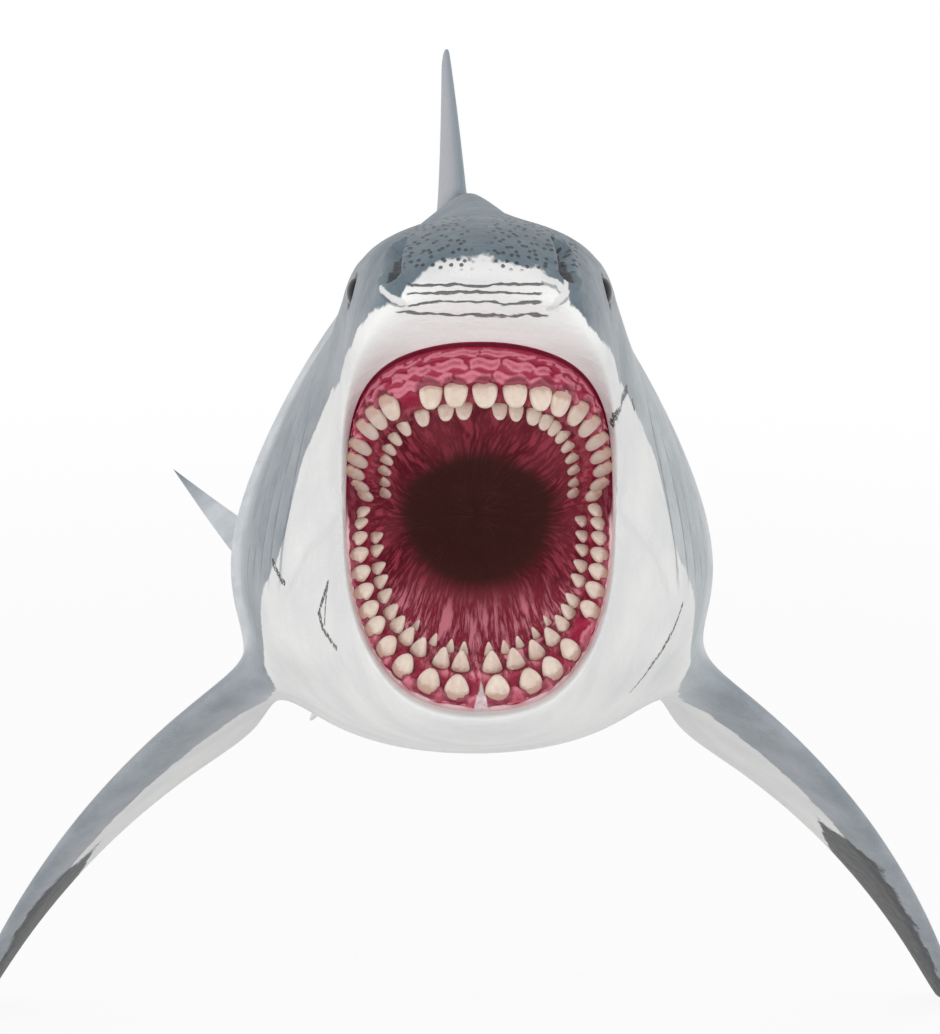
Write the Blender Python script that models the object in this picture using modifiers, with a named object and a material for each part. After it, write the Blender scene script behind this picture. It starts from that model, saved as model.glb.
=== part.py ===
"""Shark figurine with its jaws wide open, moulded and painted as one piece.

The whole animal is one skin. It is lofted ring by ring from the tail's trailing edge forward to the
snout, rolled over the lips and carried on inwards as gums, palate and throat. The half is mirrored,
the fins are drawn out of the skin, and the tail is bent into its swimming pose. Teeth are grown on
the gums, and the figure is tipped until both pectoral fins and the tail stand on the table.

While it is modelled, the figure looks along -Y with its crown up, and y = 0 is the front of the
lips. Sizes are in millimetres until the finished meshes are scaled to metres.
"""

import math

import bmesh
import bpy
from mathutils import Matrix, Vector
from mathutils.bvhtree import BVHTree

MM = 0.001

# Trunk
TRUNK_LENGTH = 280.0
BODY_WIDTH = 76.0
BACK_HEIGHT = 52.0
BELLY_DEPTH = 37.4
PEDUNCLE_WIDTH = 12.0
PEDUNCLE_HEIGHT = 13.0
PEDUNCLE_RISE = 3.0

# Head and gape
SNOUT_REACH = 16.0
NAPE_START = 43.0
SNOUT_HEIGHT = 33.0
BROW_HEIGHT = 41.8
BROW_SQUARENESS = 2.4
GAPE_WIDTH = 37.4
GAPE_TOP = 23.4
GAPE_BOTTOM = 26.4
CORNER_DEPTH = 26.5
CORNER_RISE = 2.8
LIP_ROLL = 1.3

# Mouth lining
UPPER_GUM = 6.2
LOWER_GUM = 3.0
SIDE_GUM = 1.4
THROAT_RADIUS = 10.4
THROAT_START = 56.0
THROAT_DEPTH = 84.0

# Teeth
TOOTH_WIDTH = 3.5
CORNER_TOOTH_WIDTH = 1.9
TOOTH_SPACING = 1.3
TOOTH_LENGTH = 4.0
TOOTH_ROOT = 1.6

# Pectoral fins, which stand on the table with the tail
PECTORAL_SPAN = 76.0
PECTORAL_CHORD = 48.0
PECTORAL_TIP_CHORD = 9.0
PECTORAL_THICKNESS = 6.4
PECTORAL_SWEEP = 47.0
PECTORAL_DROOP = 31.0
PECTORAL_TIP_DROOP = 69.0
PECTORAL_PITCH = 13.0

# Fins along the back and belly
DORSAL_HEIGHT = 30.0
DORSAL_CHORD = 42.0
DORSAL_SWEEP = 30.0
DORSAL_THICKNESS = 6.0
PELVIC_SPAN = 16.0
PELVIC_CHORD = 24.0
SMALL_FIN_CHORD = 20.0
SECOND_DORSAL_HEIGHT = 7.0
ANAL_FIN_DEPTH = 7.0

# Tail fin
UPPER_LOBE = 35.0
LOWER_LOBE = 25.0
TAIL_SWEEP = 32.0
TAIL_NOTCH = 20.0
TAIL_THICKNESS = 6.0

# Swimming pose: a long bend through the whole body, and a flick of the tail
BEND_START = 30.0
BODY_YAW = 12.0
FLICK_START = 185.0
FLICK_YAW = 15.0
FLICK_DROOP = 18.0
FLICK_ROLL = 22.0

# What the table takes off the three tips that it touches
FOOT_FLAT = 0.8

# Points of a ring run from the crown (0 degrees) down the flank to the keel (180 degrees)
RING_ANGLES = (0, 7, 30, 52, 72, 90, 102, 114, 129, 147, 164, 180)
FIN_ROOT_COLUMNS = (7, 8)
PELVIC_COLUMNS = (9, 10)
SKIN_LEVEL = 1


def curve_through(points, x):
    """Height at x of a smooth curve through a few points, without overshoot."""
    xs = [point[0] for point in points]
    ys = [point[1] for point in points]
    if x <= xs[0]:
        return ys[0]
    if x >= xs[-1]:
        return ys[-1]
    steps = [(ys[i + 1] - ys[i]) / (xs[i + 1] - xs[i]) for i in range(len(xs) - 1)]
    slopes = [steps[0]]
    for before, after in zip(steps, steps[1:]):
        slopes.append(0.0 if before * after <= 0 else 2 * before * after / (before + after))
    slopes.append(steps[-1])
    i = max(index for index, start in enumerate(xs[:-1]) if x >= start)
    run = xs[i + 1] - xs[i]
    t = (x - xs[i]) / run
    return (
        ys[i] * (1 + 2 * t) * (1 - t) ** 2
        + ys[i + 1] * t * t * (3 - 2 * t)
        + slopes[i] * run * t * (1 - t) ** 2
        - slopes[i + 1] * run * t * t * (1 - t)
    )


def ring(crown, flank, keel, full_up=2.0, full_down=2.0, lean=1.0, brow=0.0):
    """A ring through its crown (y, z), flank (x, y, z) and keel (y, z)."""
    return {
        "brow": brow,
        "crown": crown,
        "flank": flank,
        "keel": keel,
        "full_up": full_up,
        "full_down": full_down,
        "lean": lean,
    }


def ring_point(shape, degrees):
    """A superellipse point of a ring.

    Lean bows the ring fore and aft between its three ends, and brow squares its upper half.
    """
    angle = math.radians(degrees)
    upper = degrees <= 90
    exponent = 2 / (shape["full_up"] if upper else shape["full_down"])
    end_y, end_z = shape["crown"] if upper else shape["keel"]
    side_x, side_y, side_z = shape["flank"]
    across = abs(math.sin(angle)) ** exponent
    rise = abs(math.cos(angle)) ** exponent
    x = side_x * across
    if upper:
        x += shape["brow"] * math.sin(4 * angle)
    y = side_y + (end_y - side_y) * rise ** shape["lean"]
    return Vector((x, y, side_z + (end_z - side_z) * rise))


def fin_stations():
    """Where each fin's root starts and ends along the trunk."""
    starts = {"pectoral": 0.225, "dorsal": 0.45, "pelvic": 0.68, "small": 0.86}
    chords = {
        "pectoral": PECTORAL_CHORD,
        "dorsal": DORSAL_CHORD,
        "pelvic": PELVIC_CHORD,
        "small": SMALL_FIN_CHORD,
    }
    fins = {}
    for name, share in starts.items():
        fins[name] = (TRUNK_LENGTH * share, TRUNK_LENGTH * share + chords[name])
    return fins


def trunk_stations():
    """Stations of the trunk's rings from the peduncle forward, several under each fin."""
    fins = fin_stations()
    stations = [TRUNK_LENGTH, *reversed(fins["small"]), *reversed(fins["pelvic"])]
    for name, spaces in (("dorsal", 2), ("pectoral", 3)):
        start, end = fins[name]
        stations += [end + (start - end) * step / spaces for step in range(spaces + 1)]
    return stations


def trunk_ring(station):
    """Cross-section of the trunk: a tall egg at the shoulders, nearly round at the peduncle."""
    share = station / TRUNK_LENGTH
    slim = PEDUNCLE_WIDTH / BODY_WIDTH
    top = (PEDUNCLE_RISE + PEDUNCLE_HEIGHT / 2) / BACK_HEIGHT
    bottom = (PEDUNCLE_HEIGHT / 2 - PEDUNCLE_RISE) / BELLY_DEPTH
    rise = PEDUNCLE_RISE
    widths = ((0.19, 0.90), (0.35, 1.0), (0.52, 0.90), (0.68, 0.68), (0.86, 0.35), (1.0, slim))
    axes = ((0.19, -5.5), (0.40, -5.5), (0.68, 0.0), (0.86, rise), (1.0, rise))
    backs = ((0.19, 0.885), (0.42, 1.0), (0.54, 0.955), (0.68, 0.76), (0.86, 0.41), (1.0, top))
    bellies = ((0.19, 0.93), (0.38, 1.0), (0.54, 0.92), (0.68, 0.72), (0.86, 0.33), (1.0, bottom))
    width = curve_through(widths, share)
    axis = curve_through(axes, share)
    back = curve_through(backs, share)
    belly = curve_through(bellies, share)
    full_up = curve_through(((0.19, 1.55), (0.30, 1.42), (0.50, 1.45), (0.75, 1.7), (1.0, 1.9)), share)
    full_down = curve_through(((0.19, 2.3), (0.45, 2.25), (0.75, 2.0), (1.0, 1.9)), share)
    return ring(
        (station, BACK_HEIGHT * back),
        (BODY_WIDTH / 2 * width, station, axis),
        (station, -BELLY_DEPTH * belly),
        full_up,
        full_down,
    )


def tail_rings():
    """From the trailing edge of the tail fin forward to where it leaves the peduncle."""
    shares = (1.0, 0.88, 0.55, 0.22)
    thickness = (0.0, 0.3, 0.7, 1.1)
    rings = []
    for share, thick in zip(shares, thickness):
        rings.append(
            ring(
                (TRUNK_LENGTH + TAIL_SWEEP * share, PEDUNCLE_RISE + UPPER_LOBE * share),
                (TAIL_THICKNESS / 2 * thick, TRUNK_LENGTH + TAIL_NOTCH * share**1.3, PEDUNCLE_RISE),
                (TRUNK_LENGTH + 0.85 * TAIL_SWEEP * share, PEDUNCLE_RISE - LOWER_LOBE * share),
                2.6,
                2.6,
                0.8,
            )
        )
    return rings


def corner(out=0.0, back=0.0, up=0.0):
    """A point given from the corner of the mouth."""
    return GAPE_WIDTH / 2 + out, CORNER_DEPTH + back, CORNER_RISE + up


def head_rings():
    """From behind the eyes over the snout and down its underside to the crest of the lips."""
    chin = -(GAPE_BOTTOM + LIP_ROLL)
    return [
        ring(
            (NAPE_START, BROW_HEIGHT + 3.0),
            corner(11.3, 0.4 * NAPE_START, -7.5),
            (0.82 * NAPE_START, chin - 5.2),
            1.75,
            2.35,
            1.1,
            0.6,
        ),
        ring(
            (0.72 * NAPE_START, BROW_HEIGHT + 0.8),
            corner(7.4, 0.24 * NAPE_START, -5.0),
            (0.54 * NAPE_START, chin - 4.4),
            2.55,
            2.4,
            1.25,
            BROW_SQUARENESS,
        ),
        ring(
            (0.4 * NAPE_START, BROW_HEIGHT - 0.4),
            corner(4.6, 0.12 * NAPE_START, -2.5),
            (0.28 * NAPE_START, chin - 3.4),
            2.9,
            2.45,
            1.35,
            BROW_SQUARENESS,
        ),
        ring(
            (0.05 * NAPE_START, BROW_HEIGHT - 2.0),
            corner(2.6, 0.05 * NAPE_START, -0.8),
            (0.1 * NAPE_START, chin - 2.2),
            2.9,
            2.5,
            1.3,
            0.6 * BROW_SQUARENESS,
        ),
        ring((6 - SNOUT_REACH, SNOUT_HEIGHT + 3.6), corner(1.6, 0.6), (0.3, chin - 1.0), 2.8, 2.5, 1.25),
        ring((-SNOUT_REACH, SNOUT_HEIGHT - 1.0), corner(1.1, 0), (-1.2, chin - 0.2), 2.8, 2.5, 1.2),
        ring((6 - SNOUT_REACH, SNOUT_HEIGHT - 5.4), corner(0.7, -0.6), (-1.6, chin + 0.5), 2.9, 2.55, 1.15),
        ring((-1.5, GAPE_TOP + LIP_ROLL), corner(0.3, -1.0), (-1.0, chin + 1.0), 3.0, 2.55, 1.15),
    ]


def lining_ring(depths, insets, full_up=3.0, full_down=2.55, lean=1.15):
    """A ring inside the mouth, set in from the lips at the crown, flank and keel."""
    top, side, bottom = insets
    return ring(
        (depths[0], GAPE_TOP - top),
        corner(-side, depths[1]),
        (depths[2], bottom - GAPE_BOTTOM),
        full_up,
        full_down,
        lean,
    )


def throat_ring(depth, radius, lift=0.6):
    return ring((depth, lift + radius), (radius, depth, lift), (depth, lift - radius))


def gum_edge():
    """The ring that the front row of teeth stands on."""
    return lining_ring((3.2, 2.2, 2.6), (UPPER_GUM, SIDE_GUM, LOWER_GUM))


def second_row():
    """The ring that the second row of teeth stands on."""
    return lining_ring((8.5, 6.0, 7.5), (UPPER_GUM + 2.2, SIDE_GUM + 2.6, LOWER_GUM + 3.6), 2.9, 2.5)


def lining_rings():
    """From the lips inwards: gums, the hollow behind the teeth, palate and throat."""
    gullet = THROAT_RADIUS + 1.6
    deep = 0.6 * THROAT_START
    return [
        lining_ring((1.5, 0.4, 1.0), (0.0, 0.0, 0.0)),
        lining_ring((3.6, 1.4, 3.0), (0.9, 0.3, 0.7)),
        lining_ring((1.9, 1.5, 1.6), (UPPER_GUM * 0.55, SIDE_GUM * 0.5, LOWER_GUM * 0.5)),
        gum_edge(),
        lining_ring((7.0, 4.0, 5.6), (UPPER_GUM + 1.2, SIDE_GUM + 1.6, LOWER_GUM + 1.6)),
        second_row(),
        lining_ring((15.0, 9.0, 14.0), (UPPER_GUM + 3.4, SIDE_GUM + 4.2, LOWER_GUM + 6.2), 2.7, 2.4),
        ring((deep, gullet), (gullet, 0.77 * THROAT_START, 1.5), (deep, -gullet), 2.3, 2.2, 1.1),
        throat_ring(THROAT_START, THROAT_RADIUS),
        throat_ring(THROAT_DEPTH, 0.55 * THROAT_RADIUS),
    ]


def loft_half(bm, rings):
    """Extrudes a row of edges from ring to ring, numbering each point's row and column."""
    row = bm.verts.layers.int.new("row")
    column = bm.verts.layers.int.new("column")
    line = [bm.verts.new(ring_point(rings[0], degrees)) for degrees in RING_ANGLES]
    for index, vert in enumerate(line):
        vert[column] = index
    edges = [bm.edges.new(pair) for pair in zip(line, line[1:])]
    for number, shape in enumerate(rings[1:], 1):
        made = bmesh.ops.extrude_edge_only(bm, edges=edges)["geom"]
        for vert in made:
            if isinstance(vert, bmesh.types.BMVert):
                vert[row] = number
                vert.co = ring_point(shape, RING_ANGLES[vert[column]])
        edges = [
            edge
            for edge in made
            if isinstance(edge, bmesh.types.BMEdge) and all(vert[row] == number for vert in edge.verts)
        ]


def close_skin(bm):
    """Mirrors the half and closes the end of the throat."""
    bmesh.ops.mirror(bm, geom=bm.verts[:] + bm.edges[:] + bm.faces[:], merge_dist=0.001, axis="X")
    bmesh.ops.contextual_create(bm, geom=[edge for edge in bm.edges if edge.is_boundary])
    bmesh.ops.recalc_face_normals(bm, faces=bm.faces)


def patch(bm, rows, columns, side=0):
    """Faces of the skin between two rows and two columns, on one side or on both."""
    row = bm.verts.layers.int["row"]
    column = bm.verts.layers.int["column"]
    faces = []
    for face in bm.faces:
        inside = all(
            rows[0] <= v[row] <= rows[1] and columns[0] <= v[column] <= columns[1]
            for v in face.verts
        )
        if inside and face.calc_center_median().x * side >= 0:
            faces.append(face)
    return faces


def draw_fin(bm, faces, rows, place, steps):
    """Extrudes a patch of skin outwards; place(t, u, side) gives each point of section t."""
    row = bm.verts.layers.int["row"]
    column = bm.verts.layers.int["column"]
    columns = sorted({v[column] for face in faces for v in face.verts})
    straddles = columns[0] == 0 or columns[-1] == len(RING_ANGLES) - 1
    for t in steps:
        made = bmesh.ops.extrude_face_region(bm, geom=faces)["geom"]
        bmesh.ops.delete(bm, geom=faces, context="FACES")
        for vert in made:
            if not isinstance(vert, bmesh.types.BMVert):
                continue
            u = (rows[1] - vert[row]) / (rows[1] - rows[0])
            if straddles:
                side = 0 if vert[column] in (0, len(RING_ANGLES) - 1) else math.copysign(1, vert.co.x)
            else:
                side = 1 if vert[column] == columns[0] else -1
            vert.co = place(t, u, side)
        faces = [face for face in made if isinstance(face, bmesh.types.BMFace)]


def foil(u):
    """Thickness of a fin's section along its chord: blunt in front, thin behind."""
    return 0.34 + 1.1 * math.sqrt(u + 0.02) * (1 - u) + 0.05 * (1 - u)


def pectoral_point(hand):
    """Sections of a pectoral fin, which droops, sweeps back and shows its underside in front."""
    start, _ = fin_stations()["pectoral"]
    top = ring_point(trunk_ring(start), RING_ANGLES[FIN_ROOT_COLUMNS[0]])
    low = ring_point(trunk_ring(start), RING_ANGLES[FIN_ROOT_COLUMNS[1]])
    root = top.lerp(low, 0.3)

    def place(t, u, side):
        pieces = 24
        point = root.copy()
        droop = 0.0
        for step in range(pieces):
            bend = (PECTORAL_TIP_DROOP - PECTORAL_DROOP) * t * (step + 0.5) / pieces
            droop = math.radians(PECTORAL_DROOP + bend)
            point += Vector((math.cos(droop), 0, -math.sin(droop))) * PECTORAL_SPAN * t / pieces
        point.y += PECTORAL_SWEEP * t**1.25
        chord = PECTORAL_CHORD + (PECTORAL_TIP_CHORD - PECTORAL_CHORD) * t**0.85
        if t > 0.96:
            chord *= 0.8
            point.y += 0.1 * PECTORAL_TIP_CHORD
        thickness = PECTORAL_THICKNESS * (1.15 - 0.85 * t) * foil(u)
        out = Vector((math.sin(droop), 0, math.cos(droop)))
        pitch = math.radians(PECTORAL_PITCH)
        point += (Vector((0, math.cos(pitch), 0)) - out * math.sin(pitch)) * chord * u
        point += out * side * thickness / 2
        point.x *= hand
        return point

    return place


def keel_fin_point(start, chord, base, height, sweep, thickness, tip_share):
    """Sections of a fin on the back (height above 0) or under the belly (below 0)."""

    def place(t, u, side):
        length = chord * (1 - (1 - tip_share) * t**0.9)
        y = start + sweep * t**1.15 + length * u
        x = side * thickness / 2 * (1 - 0.72 * t) * foil(u)
        z = base + height * t - height * 0.10 * t * u
        if side == 0:
            z += math.copysign(0.4, height)
        return Vector((x, y, z))

    return place


def pelvic_point(hand):
    start, _ = fin_stations()["pelvic"]
    first, last = (RING_ANGLES[column] for column in PELVIC_COLUMNS)
    root = (ring_point(trunk_ring(start), first) + ring_point(trunk_ring(start), last)) / 2

    def place(t, u, side):
        reach = PELVIC_SPAN * t
        droop = math.radians(48)
        chord = PELVIC_CHORD * (1 - 0.6 * t)
        along = Vector((math.cos(droop), 0.75, -math.sin(droop)))
        point = root + along * reach + Vector((0, chord * u, 0))
        point += Vector((math.sin(droop), 0, math.cos(droop))) * side * 1.8 * (1 - 0.6 * t)
        point.x *= hand
        return point

    return place


def row_at(station):
    """Number of the trunk ring that lies at a station."""
    stations = trunk_stations()
    return len(tail_rings()) + min(range(len(stations)), key=lambda i: abs(stations[i] - station))


def add_fins(bm):
    fins = fin_stations()

    def rows(name):
        start, end = fins[name]
        return row_at(end), row_at(start)

    for hand in (1, -1):
        faces = patch(bm, rows("pectoral"), FIN_ROOT_COLUMNS, hand)
        draw_fin(bm, faces, rows("pectoral"), pectoral_point(hand), (0.10, 0.28, 0.52, 0.76, 0.93, 1.0))
        faces = patch(bm, rows("pelvic"), PELVIC_COLUMNS, hand)
        draw_fin(bm, faces, rows("pelvic"), pelvic_point(hand), (0.35, 1.0))

    keel = len(RING_ANGLES) - 1
    start, end = fins["dorsal"]
    middle = ring_point(trunk_ring((start + end) / 2), 0).z
    place = keel_fin_point(start, DORSAL_CHORD, middle, DORSAL_HEIGHT, DORSAL_SWEEP, DORSAL_THICKNESS, 0.16)
    draw_fin(bm, patch(bm, rows("dorsal"), (0, 1)), rows("dorsal"), place, (0.12, 0.4, 0.72, 0.93, 1.0))
    start, end = fins["small"]
    back = ring_point(trunk_ring((start + end) / 2), 0).z
    place = keel_fin_point(start, SMALL_FIN_CHORD, back, SECOND_DORSAL_HEIGHT, 9.0, 3.0, 0.3)
    draw_fin(bm, patch(bm, rows("small"), (0, 1)), rows("small"), place, (0.3, 1.0))
    belly = ring_point(trunk_ring((start + end) / 2), 180).z
    place = keel_fin_point(start, SMALL_FIN_CHORD, belly, -ANAL_FIN_DEPTH, 9.0, 3.0, 0.3)
    draw_fin(bm, patch(bm, rows("small"), (keel - 1, keel)), rows("small"), place, (0.3, 1.0))


def spine(station):
    """Point and axes (right, back, up) of the bent spine at a station."""
    reach = min(station, TRUNK_LENGTH)
    point = Vector((0, min(reach, BEND_START), PEDUNCLE_RISE))
    right, back, up = Vector((1, 0, 0)), Vector((0, 1, 0)), Vector((0, 0, 1))
    if reach <= BEND_START:
        return point, right, back, up
    pieces = 80
    step = (reach - BEND_START) / pieces
    for piece in range(pieces):
        at = BEND_START + (piece + 0.5) * step
        bend = (at - BEND_START) / (TRUNK_LENGTH - BEND_START)
        flick = max(0.0, (at - FLICK_START) / (TRUNK_LENGTH - FLICK_START))
        yaw = math.radians(BODY_YAW) * bend**1.2 + math.radians(FLICK_YAW) * flick**1.2
        droop = math.radians(FLICK_DROOP) * flick**1.2
        level = math.cos(droop)
        back = Vector((-math.sin(yaw) * level, math.cos(yaw) * level, -math.sin(droop)))
        point += back * step
    right = Vector((math.cos(yaw), math.sin(yaw), 0))
    up = right.cross(back)
    roll = math.radians(FLICK_ROLL) * flick**1.5
    up, right = up * math.cos(roll) - right * math.sin(roll), right * math.cos(roll) + up * math.sin(roll)
    return point, right, back, up


def bend_tail(bm):
    for vert in bm.verts:
        if vert.co.y > BEND_START:
            point, right, back, up = spine(vert.co.y)
            beyond = max(0.0, vert.co.y - TRUNK_LENGTH)
            vert.co = point + right * vert.co.x + back * beyond + up * (vert.co.z - PEDUNCLE_RISE)


def finish_mesh(bm, name):
    """Turns a closed bmesh's faces outwards and makes it a mesh."""
    bmesh.ops.recalc_face_normals(bm, faces=bm.faces)
    if bm.calc_volume(signed=True) < 0:
        bmesh.ops.reverse_faces(bm, faces=bm.faces)
    mesh = bpy.data.meshes.new(name)
    bm.to_mesh(mesh)
    bm.free()
    return mesh


def build_skin():
    bm = bmesh.new()
    rings = tail_rings() + [trunk_ring(station) for station in trunk_stations()] + head_rings()
    loft_half(bm, rings + lining_rings())
    close_skin(bm)
    add_fins(bm)
    bend_tail(bm)
    return finish_mesh(bm, "shark_figurine")


def tooth_row(shape, upper, first, width, length):
    """Places of the teeth of one row on one side of a jaw, from the middle to the corner."""
    fine = [ring_point(shape, degrees if upper else 180 - degrees) for degrees in range(0, 91)]
    reach = [0.0]
    for a, b in zip(fine, fine[1:]):
        reach.append(reach[-1] + (b - a).length)
    places = []
    along = first
    while along < reach[-1] - 0.8:
        share = along / reach[-1]
        size = width * (1 + (CORNER_TOOTH_WIDTH / TOOTH_WIDTH - 1) * share**1.3)
        index = max(i for i, value in enumerate(reach[:-1]) if along >= value)
        blend = (along - reach[index]) / (reach[index + 1] - reach[index])
        point = fine[index].lerp(fine[index + 1], blend)
        tangent = (fine[index + 1] - fine[index]).normalized()
        places.append((point, tangent, size, length * (1 - 0.5 * share)))
        along += size * TOOTH_SPACING
    return places


def add_tooth(bm, point, tangent, width, length, sides, lean=0.35):
    """A broad blunt tooth that points into the mouth and leans towards the front."""
    inward = Vector((-point.x, 0, CORNER_RISE - point.z))
    inward -= inward.project(tangent)
    inward = inward.normalized() + Vector((0, -lean, 0))
    inward.normalize()
    facing = inward.cross(tangent).normalized()
    frame = Matrix((tangent, facing, inward)).transposed().to_4x4()
    sections = ((-TOOTH_ROOT, 1.0, 0.64), (0.45 * length, 0.8, 0.52), (length, 0.24, 0.2))
    made = bmesh.ops.create_circle(bm, cap_ends=True, radius=0.5, segments=sides)["verts"]
    face = made[0].link_faces[0]
    for number, (height, wide, deep) in enumerate(sections):
        if number:
            made = bmesh.ops.extrude_face_region(bm, geom=[face])["geom"]
            if number > 1:
                bmesh.ops.delete(bm, geom=[face], context="FACES")
            face = next(item for item in made if isinstance(item, bmesh.types.BMFace))
        for index, vert in enumerate(face.verts):
            angle = 2 * math.pi * index / sides
            across = math.cos(angle) * wide * width / 2
            local = Vector((across, math.sin(angle) * deep * width / 2, height))
            vert.co = point + frame @ local


def jaw_rows():
    """Each row of teeth: ring, jaw, side, way of its first tooth from the middle, size and sides."""
    front, behind = gum_edge(), second_row()
    size = (TOOTH_WIDTH, TOOTH_LENGTH, 6)
    small = (0.8 * TOOTH_WIDTH, 0.65 * TOOTH_LENGTH, 4)
    return (
        (front, True, 1, 0.9, *size),
        (front, True, -1, 3.0, *size),
        (front, False, 1, 2.3, *size),
        (front, False, -1, 2.9, *size),
        (behind, True, 1, 2.8, *small),
        (behind, True, -1, 2.2, *small),
        (behind, False, 1, 1.9, *small),
        (behind, False, -1, 2.4, *small),
    )


def build_teeth(skin):
    """Every tooth, each seated on the nearest point of the gums."""
    gums = BVHTree.FromObject(skin, bpy.context.evaluated_depsgraph_get())
    bm = bmesh.new()
    for shape, upper, hand, first, width, length, sides in jaw_rows():
        for point, tangent, size, reach in tooth_row(shape, upper, first, width, length):
            point = Vector((point.x * hand, point.y, point.z))
            tangent = Vector((tangent.x * hand, tangent.y, tangent.z))
            add_tooth(bm, gums.find_nearest(point)[0], tangent, size, reach, sides)
    return finish_mesh(bm, "teeth")


def standing_turn(skin):
    """Rotation that lets both pectoral fins and the tail fin touch a level table."""
    points = [vert.co.copy() for vert in evaluated_mesh(skin).vertices]
    fins = [point for point in points if point.y < TRUNK_LENGTH / 2]
    out = BODY_WIDTH / 2 + PECTORAL_SPAN / 4
    groups = (
        [point for point in fins if point.x > out],
        [point for point in fins if point.x < -out],
        [point for point in points if point.y > TRUNK_LENGTH],
    )
    turn = Matrix.Identity(3)
    for _ in range(8):
        right, left, tail = [min((turn @ point for point in group), key=lambda p: p.z) for group in groups]
        normal = (left - tail).cross(right - tail)
        normal *= math.copysign(1, normal.z)
        turn = normal.rotation_difference(Vector((0, 0, 1))).to_matrix() @ turn
    return turn


def evaluated_mesh(obj):
    bpy.context.view_layer.update()
    return obj.evaluated_get(bpy.context.evaluated_depsgraph_get()).data


def stand_up(skin, teeth):
    """Tips the figure onto its three feet, with the table's face at z = 0 under the middle of its box."""
    turn = standing_turn(skin).to_4x4()
    skin.data.transform(turn)
    teeth.data.transform(turn)
    points = [vert.co for vert in evaluated_mesh(skin).vertices]
    low = Vector([min(point[axis] for point in points) for axis in range(3)])
    high = Vector([max(point[axis] for point in points) for axis in range(3)])
    shift = Vector((-(low.x + high.x) / 2, -(low.y + high.y) / 2, -low.z - FOOT_FLAT))
    for mesh in (skin.data, teeth.data):
        mesh.transform(Matrix.Translation(shift))
        mesh.transform(Matrix.Scale(MM, 4))


def paint():
    material = bpy.data.materials.new("painted_vinyl")
    material.use_nodes = True
    shader = material.node_tree.nodes["Principled BSDF"]
    shader.inputs["Base Color"].default_value = (0.24, 0.29, 0.33, 1)
    shader.inputs["Roughness"].default_value = 0.5
    shader.inputs["Metallic"].default_value = 0.0
    return material


def add_tool(collection, name, mesh):
    """A shape that is joined to the figure or cut from it, and isn't shown itself."""
    tool = bpy.data.objects.new(name, mesh)
    tool.hide_render = True
    tool.display_type = "WIRE"
    collection.objects.link(tool)
    return tool


def table_block():
    """The block under the table's face, as deep as it needs to be to take off the three tips."""
    bm = bmesh.new()
    reach = 2 * (TRUNK_LENGTH + PECTORAL_SPAN) * MM
    bmesh.ops.create_cube(bm, size=reach)
    bmesh.ops.translate(bm, verts=bm.verts, vec=(0, 0, -reach / 2))
    return finish_mesh(bm, "table")


def add_boolean(obj, name, operation, tool):
    cut = obj.modifiers.new(name, "BOOLEAN")
    cut.operation = operation
    cut.solver = "EXACT"
    cut.object = tool


def main():
    for obj in list(bpy.data.objects):
        bpy.data.objects.remove(obj, do_unlink=True)
    figure = bpy.data.collections.new("Shark figurine")
    tools = bpy.data.collections.new("Cutters")
    for collection in (figure, tools):
        bpy.context.scene.collection.children.link(collection)

    skin = bpy.data.objects.new("shark_figurine", build_skin())
    figure.objects.link(skin)
    skin.data.shade_smooth()
    skin.data.materials.append(paint())
    smooth = skin.modifiers.new("Skin", "SUBSURF")
    smooth.levels = smooth.render_levels = SKIN_LEVEL
    bpy.context.view_layer.update()
    teeth = add_tool(tools, "teeth", build_teeth(skin))
    stand_up(skin, teeth)
    add_boolean(skin, "Teeth", "UNION", teeth)
    add_boolean(skin, "Feet", "DIFFERENCE", add_tool(tools, "table", table_block()))


main()
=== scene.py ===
import math

import bmesh
import bpy
import numpy as np
from mathutils import Matrix, Vector
from mathutils.bvhtree import BVHTree
from mathutils.kdtree import KDTree


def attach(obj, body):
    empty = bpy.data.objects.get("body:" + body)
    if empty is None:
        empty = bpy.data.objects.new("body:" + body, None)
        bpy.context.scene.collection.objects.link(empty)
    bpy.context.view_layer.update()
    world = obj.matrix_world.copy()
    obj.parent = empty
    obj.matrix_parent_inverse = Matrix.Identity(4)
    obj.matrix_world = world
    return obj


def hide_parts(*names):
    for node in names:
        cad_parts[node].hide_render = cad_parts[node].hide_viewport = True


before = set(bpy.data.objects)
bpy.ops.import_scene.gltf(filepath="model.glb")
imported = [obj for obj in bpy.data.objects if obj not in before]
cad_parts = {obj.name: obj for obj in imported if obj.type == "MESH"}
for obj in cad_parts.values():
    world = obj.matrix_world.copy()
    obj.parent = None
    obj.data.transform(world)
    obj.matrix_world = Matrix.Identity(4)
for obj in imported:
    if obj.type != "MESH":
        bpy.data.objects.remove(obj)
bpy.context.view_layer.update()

# Skin cage
# The figure is one moulding of soft vinyl, and its mould was cut from a modelled master. The form is
# lofted ring by ring from the tail to the lips and on into the throat, in millimetres, with the
# figure looking along -Y, its crown up and y = 0 at the front of the lips.

TRUNK_LENGTH = 280.0
BODY_WIDTH = 76.0
BACK_HEIGHT = 52.0
BELLY_DEPTH = 37.4
PEDUNCLE_WIDTH = 12.0
PEDUNCLE_HEIGHT = 13.0
PEDUNCLE_RISE = 3.0
SNOUT_REACH = 16.0
NAPE_START = 43.0
SNOUT_HEIGHT = 33.0
BROW_HEIGHT = 41.8
BROW_SQUARENESS = 2.4
GAPE_WIDTH = 37.4
GAPE_TOP = 23.4
GAPE_BOTTOM = 26.4
CORNER_DEPTH = 26.5
CORNER_RISE = 2.8
LIP_ROLL = 1.3
UPPER_GUM = 6.2
LOWER_GUM = 3.0
SIDE_GUM = 1.4
THROAT_RADIUS = 10.4
THROAT_START = 56.0
THROAT_DEPTH = 84.0

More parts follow.
